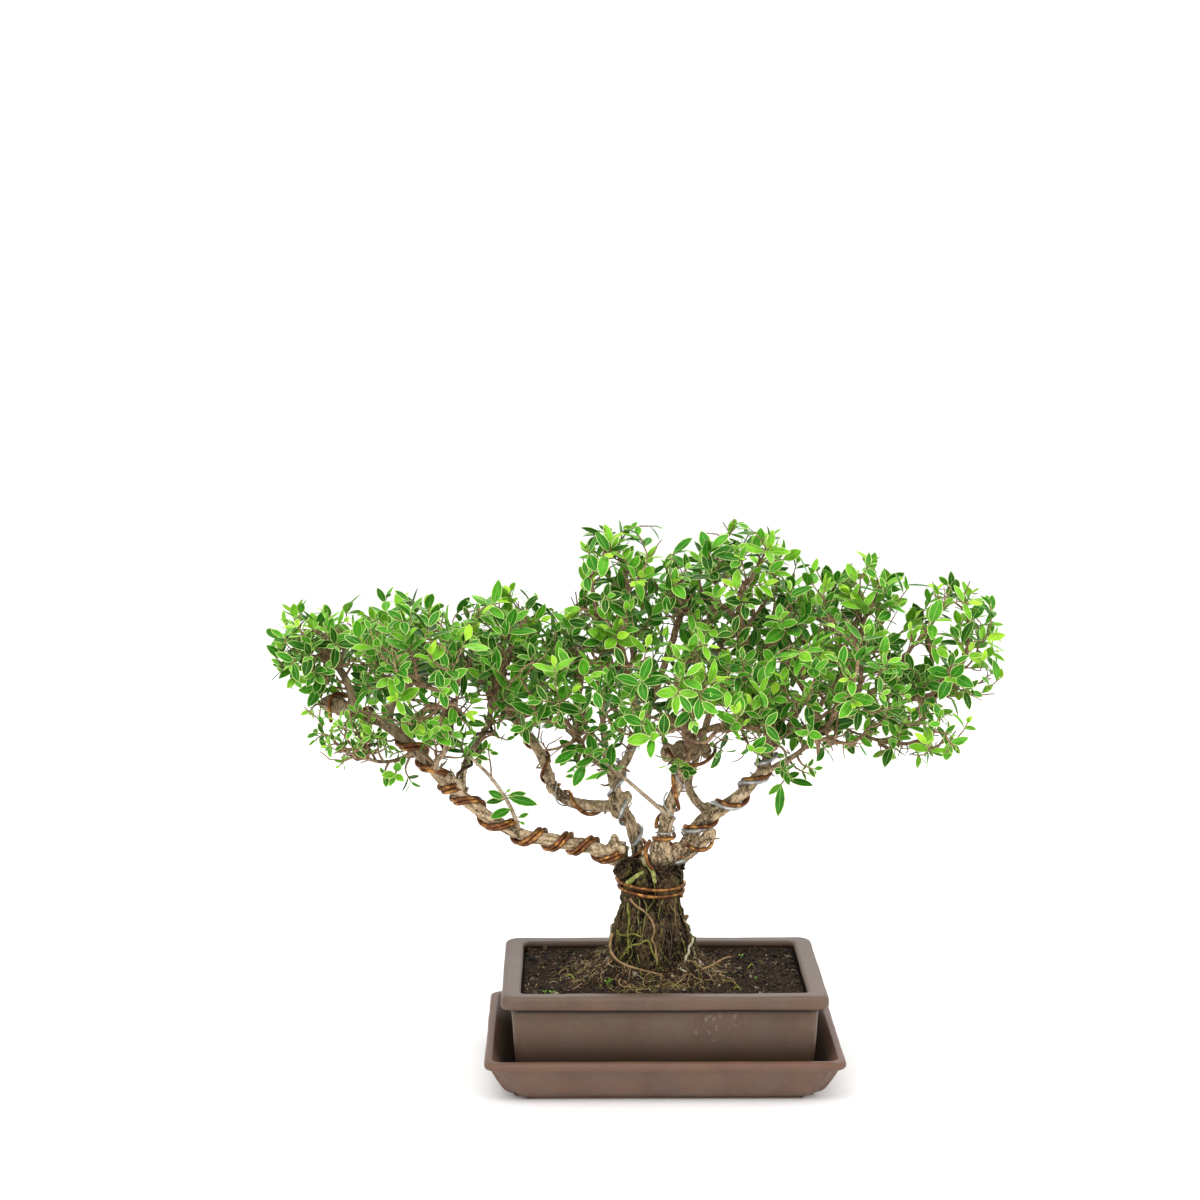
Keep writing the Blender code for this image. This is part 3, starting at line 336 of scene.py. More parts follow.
def length_setting(name, description, value, low, high):
    return bpy.props.FloatProperty(name=name, description=description, unit="LENGTH",
                                   default=value, min=low, max=high)


class BonsaiPot(bpy.types.PropertyGroup):
    """Finish of the pot and tray."""

    clay: colour_setting("Clay", "Colour of the pot's fired clay", (0.113, 0.067, 0.043))
    clay_red: colour_setting("Tray clay", "Colour of the tray's redder clay", (0.142, 0.081, 0.054))
    unevenness: length_setting("Unevenness", "How far the hand-made walls wander from straight",
                               0.00045, 0.0, 0.002)


class BonsaiWood(bpy.types.PropertyGroup):
    """Bark, roots and training wire."""

    bark: colour_setting("Bark", "Colour of the boughs' flaky bark", (0.4, 0.28, 0.155))
    old_bark: colour_setting("Old bark", "Colour of the trunk's dark bark", (0.05, 0.032, 0.016))
    relief: length_setting("Relief", "Depth of the bark's furrows on the trunk", 0.0022, 0.0, 0.005)
    voxel: length_setting("Bark grain", "Size of the bark mesh's cells", 0.0009, 0.0005, 0.003)
    copper: colour_setting("Copper wire", "Colour of the brown anodised wire", (0.46, 0.22, 0.06))
    silver: colour_setting("Silver wire", "Colour of the bare aluminium wire", (0.6, 0.6, 0.58))


class BonsaiFoliage(bpy.types.PropertyGroup):
    """Size, count and tints of the leaves."""

    leaf_length: length_setting("Leaf length", "Length of a full-grown leaf", 0.0182, 0.005, 0.05)
    leaf_width: length_setting("Leaf width", "Width of a full-grown leaf", 0.0087, 0.002, 0.03)
    margin_width: length_setting("Margin", "Width of the pale edge of a leaf", 0.00058, 0.0, 0.002)
    twigs: bpy.props.IntProperty(name="Twigs per shoot", default=8, min=1, max=20,
                                 description="Leafy twigs that each main shoot divides into")
    # the deep tone is used more low in a mass as painted shade, and the light and bright tones more high in
    # it as painted light, besides the leaves' ages
    deep: colour_setting("Deep green", "Oldest leaves", (0.018, 0.1, 0.005))
    mature: colour_setting("Mature green", "Full-grown leaves", (0.032, 0.2, 0.008))
    light: colour_setting("Light green", "This season's leaves", (0.075, 0.33, 0.012))
    bright: colour_setting("Bright green", "Soft leaves near the tips", (0.155, 0.45, 0.016))
    young: colour_setting("Young green", "Newest leaves", (0.3, 0.6, 0.025))
    margin: colour_setting("Margin tint", "Cream edge of the leaves", (0.56, 0.72, 0.22))


class BonsaiStage(bpy.types.PropertyGroup):
    """The floor and the lights."""

    floor: colour_setting("Floor", "Colour of the pale floor", (0.975, 0.975, 0.975))
    sky: bpy.props.FloatProperty(name="Sky", description="Strength of the even studio light",
                                 default=1.02, min=0.0, max=5.0)
    key: bpy.props.FloatProperty(name="Key light", description="Power of the large lamp overhead",
                                 unit="POWER", default=31.0, min=0.0, max=500.0)


# ======== shader building
class Socket:
    """An output socket that takes part in Python arithmetic."""

    def __init__(self, surface, link):
        self.surface = surface
        self.link = link

    def math(self, operation, *values):
        return self.surface.node("ShaderNodeMath", {"operation": operation}, values)

    def __add__(self, other):
        return self.math("ADD", self, other)

    __radd__ = __add__

    def __sub__(self, other):
        return self.math("SUBTRACT", self, other)

    def __rsub__(self, other):
        return self.math("SUBTRACT", other, self)

    def __mul__(self, other):
        return self.math("MULTIPLY", self, other)

    __rmul__ = __mul__

    def steps(self, low, high):
        """0 below low and 1 above high, smooth between them."""
        return self.surface.node("ShaderNodeMapRange", {"interpolation_type": "SMOOTHSTEP"},
                                 {"Value": self, "From Min": low, "From Max": high})


class Surface:
    """A Principled material and the nodes that vary it."""

    def __init__(self, name, **fixed):
        self.material = bpy.data.materials.new(name)
        self.material.use_nodes = True
        self.tree = self.material.node_tree
        self.shader = self.tree.nodes["Principled BSDF"]
        self.feed(**fixed)

    def join(self, socket, value):
        if isinstance(value, Socket):
            self.tree.links.new(value.link, socket)
        else:
            socket.default_value = value

    def feed(self, **values):
        """Set or link the shader's sockets, named in lower case."""
        for key, value in values.items():
            self.join(self.shader.inputs[key.replace("_", " ").title().replace("Ior", "IOR")], value)
        return self.material

    def node(self, kind, settings=None, inputs=(), output=0):
        """A node with its settings made first, then its sockets set or linked."""
        made = self.tree.nodes.new(kind)
        for key, value in (settings or {}).items():
            setattr(made, key, value)
        pairs = inputs.items() if isinstance(inputs, dict) else enumerate(inputs)
        for key, value in pairs:
            self.join(made.inputs[key], value)
        return Socket(self, made.outputs[output])

    def place(self, upright=1.0, shift=(0.0, 0.0, 0.0)):
        """Position on the object in millimetres, its height taken by a share."""
        place = self.node("ShaderNodeTexCoord", output="Object")
        scale = (1.0 / MM, 1.0 / MM, upright / MM)
        return self.node("ShaderNodeMapping", None, {"Vector": place, "Location": shift, "Scale": scale})

    def noise(self, size, detail=3.0, upright=1.0, shift=0.0):
        place = self.place(upright, (shift, shift * 0.7, shift * 1.3))
        return self.node("ShaderNodeTexNoise", {"noise_dimensions": "3D"},
                         {"Vector": place, "Scale": 1.0 / size, "Detail": detail, "Roughness": 0.55})

    def axis(self, name):
        """One coordinate of the place on the object, in millimetres."""
        place = self.place()
        return self.node("ShaderNodeSeparateXYZ", None, {"Vector": place}, output=name)

    def attribute(self, name):
        return self.node("ShaderNodeAttribute", {"attribute_name": name}, output="Fac")

    def mix(self, factor, first, second):
        """Colours mixed by a factor."""
        return self.node("ShaderNodeMix", {"data_type": "RGBA"},
                         {0: factor, 6: tint(first), 7: tint(second)}, output=2)

    def coats(self, colour, *coats):
        """A colour with others laid over it one after another, each by its own mask."""
        for mask, coat in coats:
            colour = self.mix(mask, colour, coat)
        return colour

    def bump(self, height, depth, strength=1.0):
        """Relief of a depth in millimetres for the shader's Normal."""
        return self.node("ShaderNodeBump", None,
                         {"Strength": strength, "Distance": depth * MM, "Height": height})


def tint(colour):
    """A colour with its alpha, or a socket as it is."""
    return colour if isinstance(colour, Socket) else (*tuple(colour)[:3], 1.0)


def shade(colour, factor):
    """A colour made darker or lighter by a factor."""
    return tuple(min(1.0, c * factor) for c in tuple(colour)[:3])


def of_red(clay, *shares):
    """A clay's duller relative: shares of its red in each channel."""
    return tuple(clay[0] * share for share in shares)


def stoneware(name, clay, seed, marks):
    """Matt unglazed fired clay, mottled, with marks of its own, and painted shade that darkens the inner
    walls.
    """
    s = Surface(name)
    broad = s.noise(38.0, 2.0, shift=seed)
    mottle = s.noise(7.0, 4.0, shift=seed + 3.0)
    grain = s.noise(0.9, 2.0, shift=seed + 7.0)
    specks = grain.steps(0.66, 0.74)
    colour = s.coats(
        s.mix(broad.steps(0.3, 0.7), shade(clay, 0.88), shade(clay, 1.1)),
        (mottle.steps(0.38, 0.74) * 0.35, shade(clay, 1.3)),
        (s.noise(24.0, 3.0, shift=seed + 9.0).steps(0.45, 0.72) * 0.3, of_red(clay, 1.1, 0.88, 0.74)),
        (specks * 0.35, shade(clay, 2.1)),
        (grain.steps(0.36, 0.28) * 0.4, shade(clay, 0.5)),
        *marks(s, clay, seed),
        # painted shade: the inner walls darken with their depth below the lip
        (s.attribute("inside") * 0.9, of_red(clay, 0.16, 0.09, 0.05)))
    rough = broad * 0.12 + specks * -0.1 + 0.42
    height = grain * 0.6 + mottle * 0.8
    return s.feed(base_color=colour, roughness=rough, specular_ior_level=0.3,
                  normal=s.bump(height, 0.16, 0.55))


def pot_marks_and_painted_shade(s, clay, seed):
    """Lime on the front and scurf low down, with painted shade that darkens the lower wall, a painted shadow
    under the rim, and the rim's top painted lighter as sheen from above, with some wear.
    """
    z = s.axis("Z")
    across = s.axis("X") - 34.0
    near = across.steps(-22.0, -4.0) * across.steps(34.0, 8.0)
    band = z.steps(36.0, 44.0) * z.steps(74.0, 62.0) * s.axis("Y").steps(-80.0, -84.0)
    lime = s.noise(4.2, 5.0, 0.7, seed + 21.0).steps(0.56, 0.74)
    scurf = s.noise(1.4, 4.0, shift=seed + 33.0).steps(0.66, 0.76) * z.steps(40.0, 26.0)
    return ((lime * near * band * 0.35, (0.42, 0.38, 0.33)),
            # painted shade: the lower wall darkens towards the foot
            (z.steps(60.0, 20.0) * 0.97, of_red(clay, 0.31, 0.16, 0.085)),
            (scurf * 0.35, (0.3, 0.22, 0.15)),
            # painted shadow: a dark band on the neck just under the rim
            (z.steps(63.5, 67.2) * z.steps(69.8, 68.4) * 0.9, shade(clay, 0.15)),
            # painted sheen with some wear: the top of the rim is lighter
            (z.steps(76.0, 78.6) * 0.4, of_red(clay, 1.4, 1.05, 0.86)))


def tray_marks(s, clay, _):
    """The tray's redder band."""
    return ((s.axis("Z").steps(24.0, 31.0) * 0.5, of_red(clay, 1.02, 0.48, 0.3)),)


def wood(name, pale, dark):
    """Flaky bark above and dark mossy bark below, furrows darker, by values kept on the mesh, with painted
    crown shade on the highest boughs.
    """
    s = Surface(name)
    relief = s.attribute("relief")
    fine = s.noise(1.2, 5.0, 0.6)
    flake = s.noise(2.6, 4.0, 0.5, 19.0)
    light = (pale[0] * 1.95, pale[1] * 2.15, pale[2] * 2.6)
    body = s.coats(
        s.mix(s.noise(9.0, 3.0, shift=5.0).steps(0.36, 0.66), shade(pale, 0.6), shade(pale, 1.15)),
        (flake.steps(0.48, 0.6) * 0.6, shade(light, 0.82)),
        (flake.steps(0.45, 0.36) * 0.28, shade(pale, 0.4)),
        (relief.steps(0.12, -0.55) * 0.85, shade(pale, 0.16)),
        (relief.steps(0.25, 0.75) * 0.75, light),
        (fine.steps(0.53, 0.61) * 0.6, light),
        (fine.steps(0.43, 0.34) * 0.6, shade(pale, 0.16)),
        # painted shade of the crown: the boughs darken towards the top
        (s.axis("Z").steps(222.0, 262.0) * 0.5, shade(pale, 0.3)))
    moss = s.noise(8.0, 4.0, 0.5, 31.0).steps(0.54, 0.68) * s.noise(1.4, 3.0).steps(0.46, 0.6)
    tan = s.noise(5.0, 4.0, 0.45, 47.0).steps(0.57, 0.7) * fine.steps(0.46, 0.6)
    old = s.coats(
        s.mix(relief.steps(-0.3, 0.6), shade(dark, 0.12), shade(dark, 1.3)),
        (fine.steps(0.52, 0.62) * 0.7, shade(dark, 3.4)),
        (s.noise(2.6, 3.0, shift=14.0).steps(0.5, 0.62) * 0.85, (0.006, 0.0045, 0.003)),
        (moss * 0.95, (0.115, 0.135, 0.018)),
        (tan * 0.75, (0.23, 0.15, 0.06)))
    height = fine * 0.9 + flake * 0.5 + s.noise(0.55, 2.0) * 0.4
    return s.feed(base_color=s.mix(s.attribute("age"), body, old), roughness=0.9,
                  specular_ior_level=0.15, normal=s.bump(height, 0.7, 0.9))


def twig_bark(name, *tones):
    """Thin red-brown bark of the twigs, streaked and blotched."""
    s = Surface(name, roughness=0.85, specular_ior_level=0.2)
    fine = s.noise(0.9, 3.0, 0.5, 11.0)
    colour = s.coats(
        s.mix(s.noise(6.0, 3.0).steps(0.35, 0.65), *tones),
        (fine.steps(0.5, 0.68) * 0.6, (0.56, 0.42, 0.27)),
        (fine.steps(0.44, 0.34) * 0.7, (0.045, 0.024, 0.014)))
    return s.feed(base_color=colour, normal=s.bump(fine, 0.3, 0.7))


def wire_metal(name, colour, patina, gloss):
    """Annealed training wire, bright where it is rubbed and dull with patina elsewhere."""
    s = Surface(name, metallic=0.8)
    fine = s.noise(1.1, 3.0, shift=8.0)
    worn = s.noise(6.0, 4.0).steps(0.46, 0.62)
    tone = s.coats(s.mix(worn, patina, colour), (fine.steps(0.56, 0.68) * 0.5, shade(patina, 0.45)))
    rough = gloss + (1.0 - worn) * 0.14 + fine * 0.08
    return s.feed(base_color=tone, roughness=rough, normal=s.bump(fine, 0.1, 0.6))


def leaf_green(name, colour):
    """Waxy leaf blade, faintly uneven in tone and quilted between its veins."""
    s = Surface(name, specular_ior_level=0.15)
    quilt = s.noise(1.7, 2.0, shift=6.0)
    tone = s.coats(
        s.mix(s.noise(9.0, 2.0).steps(0.32, 0.68), shade(colour, 0.72), shade(colour, 1.22)),
        (quilt.steps(0.42, 0.66) * 0.35, (colour[0] * 1.7, colour[1] * 1.3, colour[2] * 1.2)))
    return s.feed(base_color=tone, roughness=quilt * 0.12 + 0.42, normal=s.bump(quilt, 0.22, 0.4))


def plain_fibre(name, colour, other, rough=0.8):
    """A root, fibre or margin in two mixed tones."""
    s = Surface(name, roughness=rough, specular_ior_level=0.3)
    tone = s.mix(s.noise(3.5, 3.0).steps(0.35, 0.65), colour, other)
    return s.feed(base_color=tone, normal=s.bump(s.noise(0.7, 2.0), 0.15, 0.5))


def fibres_of(finishes):
    """The materials of a table of two tones, and a roughness where it has one, by name."""
    return [plain_fibre(name, *tones) for name, tones in finishes.items()]


def earth(name):
    """Damp dark potting soil, with painted light on the crumbs' tops and painted shade between them."""
    s = Surface(name, roughness=0.95, specular_ior_level=0.12)
    black = (0.002, 0.0015, 0.001)
    lumps = s.noise(4.0, 5.0)
    fine = s.noise(1.1, 4.0, shift=4.0)
    relief = s.attribute("relief")
    tone = s.coats(
        s.mix(lumps.steps(0.35, 0.68), (0.005, 0.0035, 0.0025), (0.02, 0.012, 0.008)),
        # painted light: the tops of the crumbs are lighter
        (relief.steps(0.5, 1.0) * 0.6, (0.062, 0.038, 0.022)),
        (fine.steps(0.6, 0.7) * 0.45, (0.1, 0.062, 0.036)),
        (fine.steps(0.45, 0.36) * 0.9, black),
        # painted shade: the hollows between the crumbs go black
        (relief.steps(0.4, 0.05) * 0.8, black),
        (s.attribute("age") * lumps.steps(0.42, 0.58) * 0.6, (0.12, 0.07, 0.03)))
    return s.feed(base_color=tone, normal=s.bump(fine + lumps, 0.8, 1.0))


# ======== numbers
def unit(values):
    """Values kept from 0 to 1."""
    return np.clip(values, 0.0, 1.0)


def scatter_noise(points, size, seed=0, stretch=(1.0, 1.0, 1.0)):
    """Smooth noise from -1 to 1, with blobs about size across."""
    p = np.asarray(points, float) * np.asarray(stretch) / size + 1000.0 + 17.31 * seed
    cell = np.floor(p).astype(np.int64)
    t = p - cell
    t = t * t * (3.0 - 2.0 * t)
    total = np.zeros(len(p))
    for corner in range(8):
        step = np.array((corner & 1, corner >> 1 & 1, corner >> 2 & 1))
        c = cell + step
        mixed = c[:, 0] * 73856093 ^ c[:, 1] * 19349663 ^ c[:, 2] * 83492791 ^ (seed * 2654435761 & 0xffffff)
        mixed = mixed & 0xffffffff
        mixed = (mixed ^ mixed >> 13) * 1274126177 & 0xffffffff
        value = (mixed ^ mixed >> 16 & 0xffff) % 65536 / 32767.5 - 1.0
        total += value * np.prod(np.where(step, t, 1.0 - t), axis=1)
    return total


def layered(points, size, seed=0, stretch=(1.0, 1.0, 1.0), layers=3):
    """Noise with finer noise laid over it."""
    total = np.zeros(len(points))
    for k in range(layers):
        total += scatter_noise(points, size / 2 ** k, seed + k, stretch) / 1.8 ** k
    return total


def domes(points, size, seed=0):
    """Heights from 0 to 1 of round crumbs packed side by side, seen from above."""
    p = np.asarray(points, float)[:, :2] / size + 500.0
    cell = np.floor(p)
    nearest = np.full(len(p), 9.0)
    for step in product((-1, 0, 1), repeat=2):
        c = cell + step
        base = np.column_stack((c, np.full(len(c), seed * 3.7)))
        jitter = np.column_stack([scatter_noise(base + 0.37 * k, 1.0, seed + k) for k in (1, 2)])
        nearest = np.minimum(nearest, norm(c + 0.5 + 0.55 * jitter - p, axis=1))
    return np.sqrt(unit(1.0 - (nearest / 0.82) ** 2))


def curve_through(points, step=6.0):
    """Points about step apart on a smooth curve through the given ones."""
    knots = [Vector(p) for p in points]
    knots = [knots[0] * 2 - knots[1]] + knots + [knots[-1] * 2 - knots[-2]]
    curve = [knots[1]]
    for a, b, c, d in zip(knots, knots[1:], knots[2:], knots[3:]):
        count = max(1, round((c - b).length / step))
        for i in range(1, count + 1):
            t = i / count
            curve.append(0.5 * (2 * b + (c - a) * t + (2 * a - 5 * b + 4 * c - d) * t ** 2
                                + (3 * b - a - 3 * c + d) * t ** 3))
    return curve


def frames_along(points):
    """Tangent and two normals at each point, carried along without twisting."""
    frames = []
    normal = None
    for i in range(len(points)):
        tangent = (points[min(i + 1, len(points) - 1)] - points[max(i - 1, 0)]).normalized()
        if normal is None:
            normal = tangent.orthogonal().normalized()
        normal = (normal - tangent * normal.dot(tangent)).normalized()
        frames.append((tangent, normal, tangent.cross(normal)))
    return frames


# ======== meshes
class Heap:
    """Points and faces gathered for one joined mesh, in millimetres."""

    def __init__(self):
        self.points = []
        self.corners = []
        self.sizes = []
        self.slots = []
        self.count = 0

    def add(self, points, faces, slot=0):
        """Points with faces of one corner count, all in one material slot or one slot each."""
        points = np.asarray(points, float).reshape(-1, 3)
        faces = np.asarray(faces, int)
        self.points.append(points)
        self.corners.append((faces + self.count).ravel())
        self.sizes.append(np.full(len(faces), faces.shape[1]))
        self.slots.append(np.broadcast_to(slot, len(faces)))
        self.count += len(points)

    def close(self, first, size, flip):
        """One flat face over a ring of points that is already there."""
        face = np.arange(first, first + size)
        self.corners.append(face[::-1] if flip else face)
        self.sizes.append(np.array([size]))
        self.slots.append(np.array([0]))

    def tube(self, line, radii, sides=6, slot=0, capped=True):
        """A round body along a line of points, of one radius or one each, with rounded ends."""
        line = [Vector(p) for p in line]
        radii = np.broadcast_to(radii, len(line))
        frames = frames_along(line)
        angles = np.arange(sides) * 2 * pi / sides
        rings = []
        for point, radius, (_, n, b) in zip(line, radii, frames):
            ring = np.outer(np.cos(angles), n) + np.outer(np.sin(angles), b)
            rings.append(np.array(point) + ring * radius)
        if capped:
            for end, sign in ((0, -1), (-1, 1)):
                middle = rings[end].mean(0)
                out = np.array(frames[end][0]) * radii[end] * sign
                shoulder = middle + (rings[end] - middle) * 0.72 + out * 0.6
                tip = np.tile(middle + out * 0.9, (sides, 1))
                rings = [tip, shoulder, *rings] if end == 0 else [*rings, shoulder, tip]
        self.add(np.concatenate(rings), grid_faces(len(rings), sides), slot)

    def build(self, name, materials, smooth=True):
        """The gathered mesh as an object."""
        mesh = bpy.data.meshes.new(name)
        points = np.concatenate(self.points)
        corners = np.concatenate(self.corners)
        sizes = np.concatenate(self.sizes)
        mesh.vertices.add(len(points))
        mesh.vertices.foreach_set("co", (points * MM).ravel())
        mesh.loops.add(len(corners))
        mesh.loops.foreach_set("vertex_index", corners)
        mesh.polygons.add(len(sizes))
        mesh.polygons.foreach_set("loop_start", np.cumsum(sizes) - sizes)
        for surface in materials:
            mesh.materials.append(surface)
        mesh.polygons.foreach_set("material_index", np.concatenate(self.slots))
        mesh.update(calc_edges=True)
        if smooth:
            mesh.shade_smooth()
        return place_object(name, mesh)


def place_object(name, mesh):
    """A mesh as an object that moves with the tree's body."""
    made = bpy.data.objects.new(name, mesh)
    bpy.context.scene.collection.objects.link(made)
    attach(made, ROOT)
    return made


def grid_faces(rings, size, closed=True):
    """Quads between rings of equal size."""
    span = size if closed else size - 1
    k, i = np.meshgrid(np.arange(rings - 1), np.arange(span), indexing="ij")
    k, i = k.ravel(), i.ravel()
    j = (i + 1) % size
    return np.column_stack((k * size + i, k * size + j, (k + 1) * size + j, (k + 1) * size + i))


def set_values(item, **columns):
    """Keep a number per point on a mesh, under a name that its material reads."""
    for name, values in columns.items():
        layer = item.data.attributes.new(name, "FLOAT", "POINT")
        layer.data.foreach_set("value", np.asarray(values, np.float32))


def vectors(items, key):
    """One vector of each item of a mesh, as rows."""
    flat = np.zeros(len(items) * 3)
    items.foreach_get(key, flat)
    return flat.reshape(-1, 3)


def mesh_points(mesh):
    """A mesh's points in millimetres."""
    return vectors(mesh.vertices, "co") / MM


def tree_of(item):
    """A search tree over an object's mesh, in millimetres."""
    points = [tuple(p) for p in mesh_points(item.data)]
    return BVHTree.FromPolygons(points, [tuple(p.vertices) for p in item.data.polygons])


# ======== pot and tray
CORNER_POINTS = 11
SIDE_POINTS = 22


def box_ring(half_x, half_y, height, corner, bite):
    """Points round a rectangle; a corner is round, or cut inward as bite goes from 0 to 1."""
    ring = []
    for quarter in range(4):
        sx = (1, -1, -1, 1)[quarter]
        sy = (1, 1, -1, -1)[quarter]
        for i in range(CORNER_POINTS):
            turn = i / (CORNER_POINTS - 1) * pi / 2
            angle = quarter * pi / 2 + turn
            x = sx * (half_x - corner) + corner * cos(angle)
            y = sy * (half_y - corner) + corner * sin(angle)
            first, second = sin(turn), cos(turn)
            if quarter % 2:
                first, second = second, first
            cut_x = sx * (half_x - TRAY_BITE * first)
            cut_y = sy * (half_y - TRAY_BITE * second)
            ring.append((x + (cut_x - x) * bite, y + (cut_y - y) * bite, height))
    full = []
    for k, point in enumerate(ring):
        full.append(point)
        if k % CORNER_POINTS == CORNER_POINTS - 1:
            ahead = ring[(k + 1) % len(ring)]
            for i in range(1, SIDE_POINTS):
                t = i / SIDE_POINTS
                full.append(tuple(a + (b - a) * t for a, b in zip(point, ahead)))
    return full


def soft_profile(stations, span=6.0):
    """Ring sizes along a profile whose corners are eased by each station's own radius."""
    places = [np.array(s[:5], float) for s in stations]
    eased = [places[0]]
    for before, here, after, station in zip(places, places[1:], places[2:], stations[1:]):
        radius = station[5]
        back = before - here
        on = after - here
        start = here + back * min(radius / max(norm(back[:3]), 1e-6), 0.48)
        end = here + on * min(radius / max(norm(on[:3]), 1e-6), 0.48)
        for t in (0.0, 0.25, 0.5, 0.75, 1.0):
            eased.append(start * (1 - t) ** 2 + here * 2 * t * (1 - t) + end * t ** 2)
    eased.append(places[-1])
    rings = [eased[0]]
    for a, b in zip(eased, eased[1:]):
        count = max(1, ceil(norm((b - a)[:3]) / span))
        rings += [a + (b - a) * i / count for i in range(1, count + 1)]
    return rings


def fired_shell(name, stations, surface, seed, unevenness):
    """A closed fired-clay body through its stations, with slightly wandering walls."""
    rings = soft_profile(stations)
    points = np.array([p for ring in rings for p in box_ring(*ring)])
    heap = Heap()
    size = 4 * (CORNER_POINTS + SIDE_POINTS - 1)
    heap.add(points, grid_faces(len(rings), size))
    heap.close(0, size, True)
    heap.close((len(rings) - 1) * size, size, False)
    made = heap.build(name, [surface])
    normals = vectors(made.data.vertex_normals, "vector")
    broad = scatter_noise(points, 52.0, seed) + 0.45 * scatter_noise(points, 17.0, seed + 2)
    wander = unevenness / MM * broad
    wander += 0.06 * scatter_noise(points, 5.0, seed + 5)
    wander *= unit(points[:, 2] / 4.0)
    made.data.vertices.foreach_set("co", ((points + normals * wander[:, None]) * MM).ravel())
    made.data.update()
    # painted shade: the inside value grows with depth below the lip, and the clay's material darkens the
    # inner walls by it
    depth = np.array([ring[2] for ring in rings])
    lip = int(np.argmax(depth))
    inner = np.where(np.arange(len(rings)) > lip, unit((depth[lip] - depth) / 9.0 - 0.15), 0.0)
    set_values(made, inside=np.repeat(inner, size))
    return made


def inset(half, amount):
    return half[0] - amount, half[1] - amount


def pot_inside(height):
    """Half sizes of the pot's inner wall at a height."""
    share = (POT_TOP - height) / (POT_TOP - POT_BASE)
    return inset(POT_HALF, POT_RIM_OVERHANG + POT_TAPER * share + POT_WALL)


def tray_stations():
    """Half sizes, height, corner radius, bite of the corner and easing, from foot to floor."""
    band = TRAY_HEIGHT - TRAY_BAND
    foot = inset(TRAY_HALF, TRAY_FOOT_INSET)
    under = inset(TRAY_HALF, 4.6)
    mouth = inset(TRAY_HALF, 7.0)
    floor = inset(foot, 5.5)
    c = TRAY_CORNER
    return [
        (*inset(foot, 12.0), 1.2, c, 1.0, 0.0),
        (*inset(foot, 9.0), 1.2, c, 1.0, 0.6),
        (*inset(foot, 8.0), 0.0, c, 1.0, 0.5),
        (*inset(foot, 1.2), 0.0, c, 1.0, 0.6),
        (*foot, 1.8, c, 1.0, 1.6),
        (*inset(TRAY_HALF, 15.4), band * 0.2, c, 1.0, 4.0),
        (*inset(TRAY_HALF, 9.8), band * 0.55, c, 1.0, 6.0),
        (*under, band - 1.6, c, 0.92, 1.6),
        (*inset(TRAY_HALF, 1.2), band, c, 0.1, 0.9),
        (*TRAY_HALF, band + 1.8, c, 0.0, 1.3),
        (*TRAY_HALF, TRAY_HEIGHT - 1.9, c, 0.0, 1.8),
        (*inset(TRAY_HALF, 1.9), TRAY_HEIGHT, c, 0.0, 1.5),
        (*inset(mouth, -1.2), TRAY_HEIGHT, c, 0.0, 1.3),
        (*mouth, TRAY_HEIGHT - 1.4, c, 0.0, 1.3),
        (*inset(floor, -1.8), TRAY_FLOOR + 1.9, c, 0.0, 2.2),
        (*floor, TRAY_FLOOR, c, 0.0, 1.6),
        (*inset(floor, 6.0), TRAY_FLOOR, c, 0.0, 0.0),
    ]


def pot_stations():
    """Half sizes, height, corner radius, bite of the corner and easing, from foot to floor."""
    under = POT_TOP - POT_RIM_HEIGHT
    neck = inset(POT_HALF, POT_RIM_OVERHANG)
    foot = inset(neck, POT_TAPER)
    mouth = inset(POT_HALF, POT_RIM_WIDTH)
    floor = POT_BASE + POT_FLOOR
    c = POT_CORNER
    r = POT_RIM_CORNER
    return [
        (*inset(foot, 14.0), POT_BASE + 1.0, c, 0.0, 0.0),
        (*inset(foot, 9.5), POT_BASE, c, 0.0, 1.0),
        (*inset(foot, 7.5), POT_BASE, c, 0.0, 0.8),
        (*inset(foot, 1.5), POT_BASE + 4.5, c, 0.0, 1.5),
        (*foot, POT_BASE + 8.0, c, 0.0, 2.0),
        (*neck, under - 2.4, c, 0.0, 0.6),
        (*inset(neck, -1.7), under - 0.5, r, 0.0, 0.8),
        (*inset(POT_HALF, 1.2), under, r, 0.0, 1.1),
        (*POT_HALF, under + 2.2, r, 0.0, 1.9),
        (*POT_HALF, POT_TOP - 2.8, r, 0.0, 2.4),
        (*inset(POT_HALF, 2.6), POT_TOP, r, 0.0, 2.4),
        (*inset(mouth, -2.0), POT_TOP - 0.3, c, 0.0, 1.6),
        (*mouth, POT_TOP - 2.0, c, 0.0, 1.6),
        (*mouth, POT_TOP - POT_LIP, c, 0.0, 0.6),
        (*inset(mouth, -POT_RECESS), POT_TOP - POT_LIP - 1.2, c, 0.0, 0.5),
        (*pot_inside(floor + 2.0), floor + 2.0, c, 0.0, 1.0),
        (*inset(pot_inside(floor), 2.0), floor, c, 0.0, 1.0),
        (*inset(pot_inside(floor), 8.0), floor, c, 0.0, 0.0),
    ]


class BONSAI_OT_pot(bpy.types.Operator):
    """Throw the pot and its drip tray"""

    bl_idname = "bonsai.pot"
    bl_label = "Pot and tray"

    def execute(self, context):
        look = context.scene.bonsai_pot
        surface = stoneware("pot_clay", look.clay, 2.0, pot_marks_and_painted_shade)
        pot = fired_shell("pot_fired", pot_stations(), surface, 3, look.unevenness)
        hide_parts("pot")
        surface = stoneware("tray_clay", look.clay_red, 40.0, tray_marks)
        tray = fired_shell("tray_fired", tray_stations(), surface, 11, look.unevenness)
        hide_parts("tray")
        return {"FINISHED"}


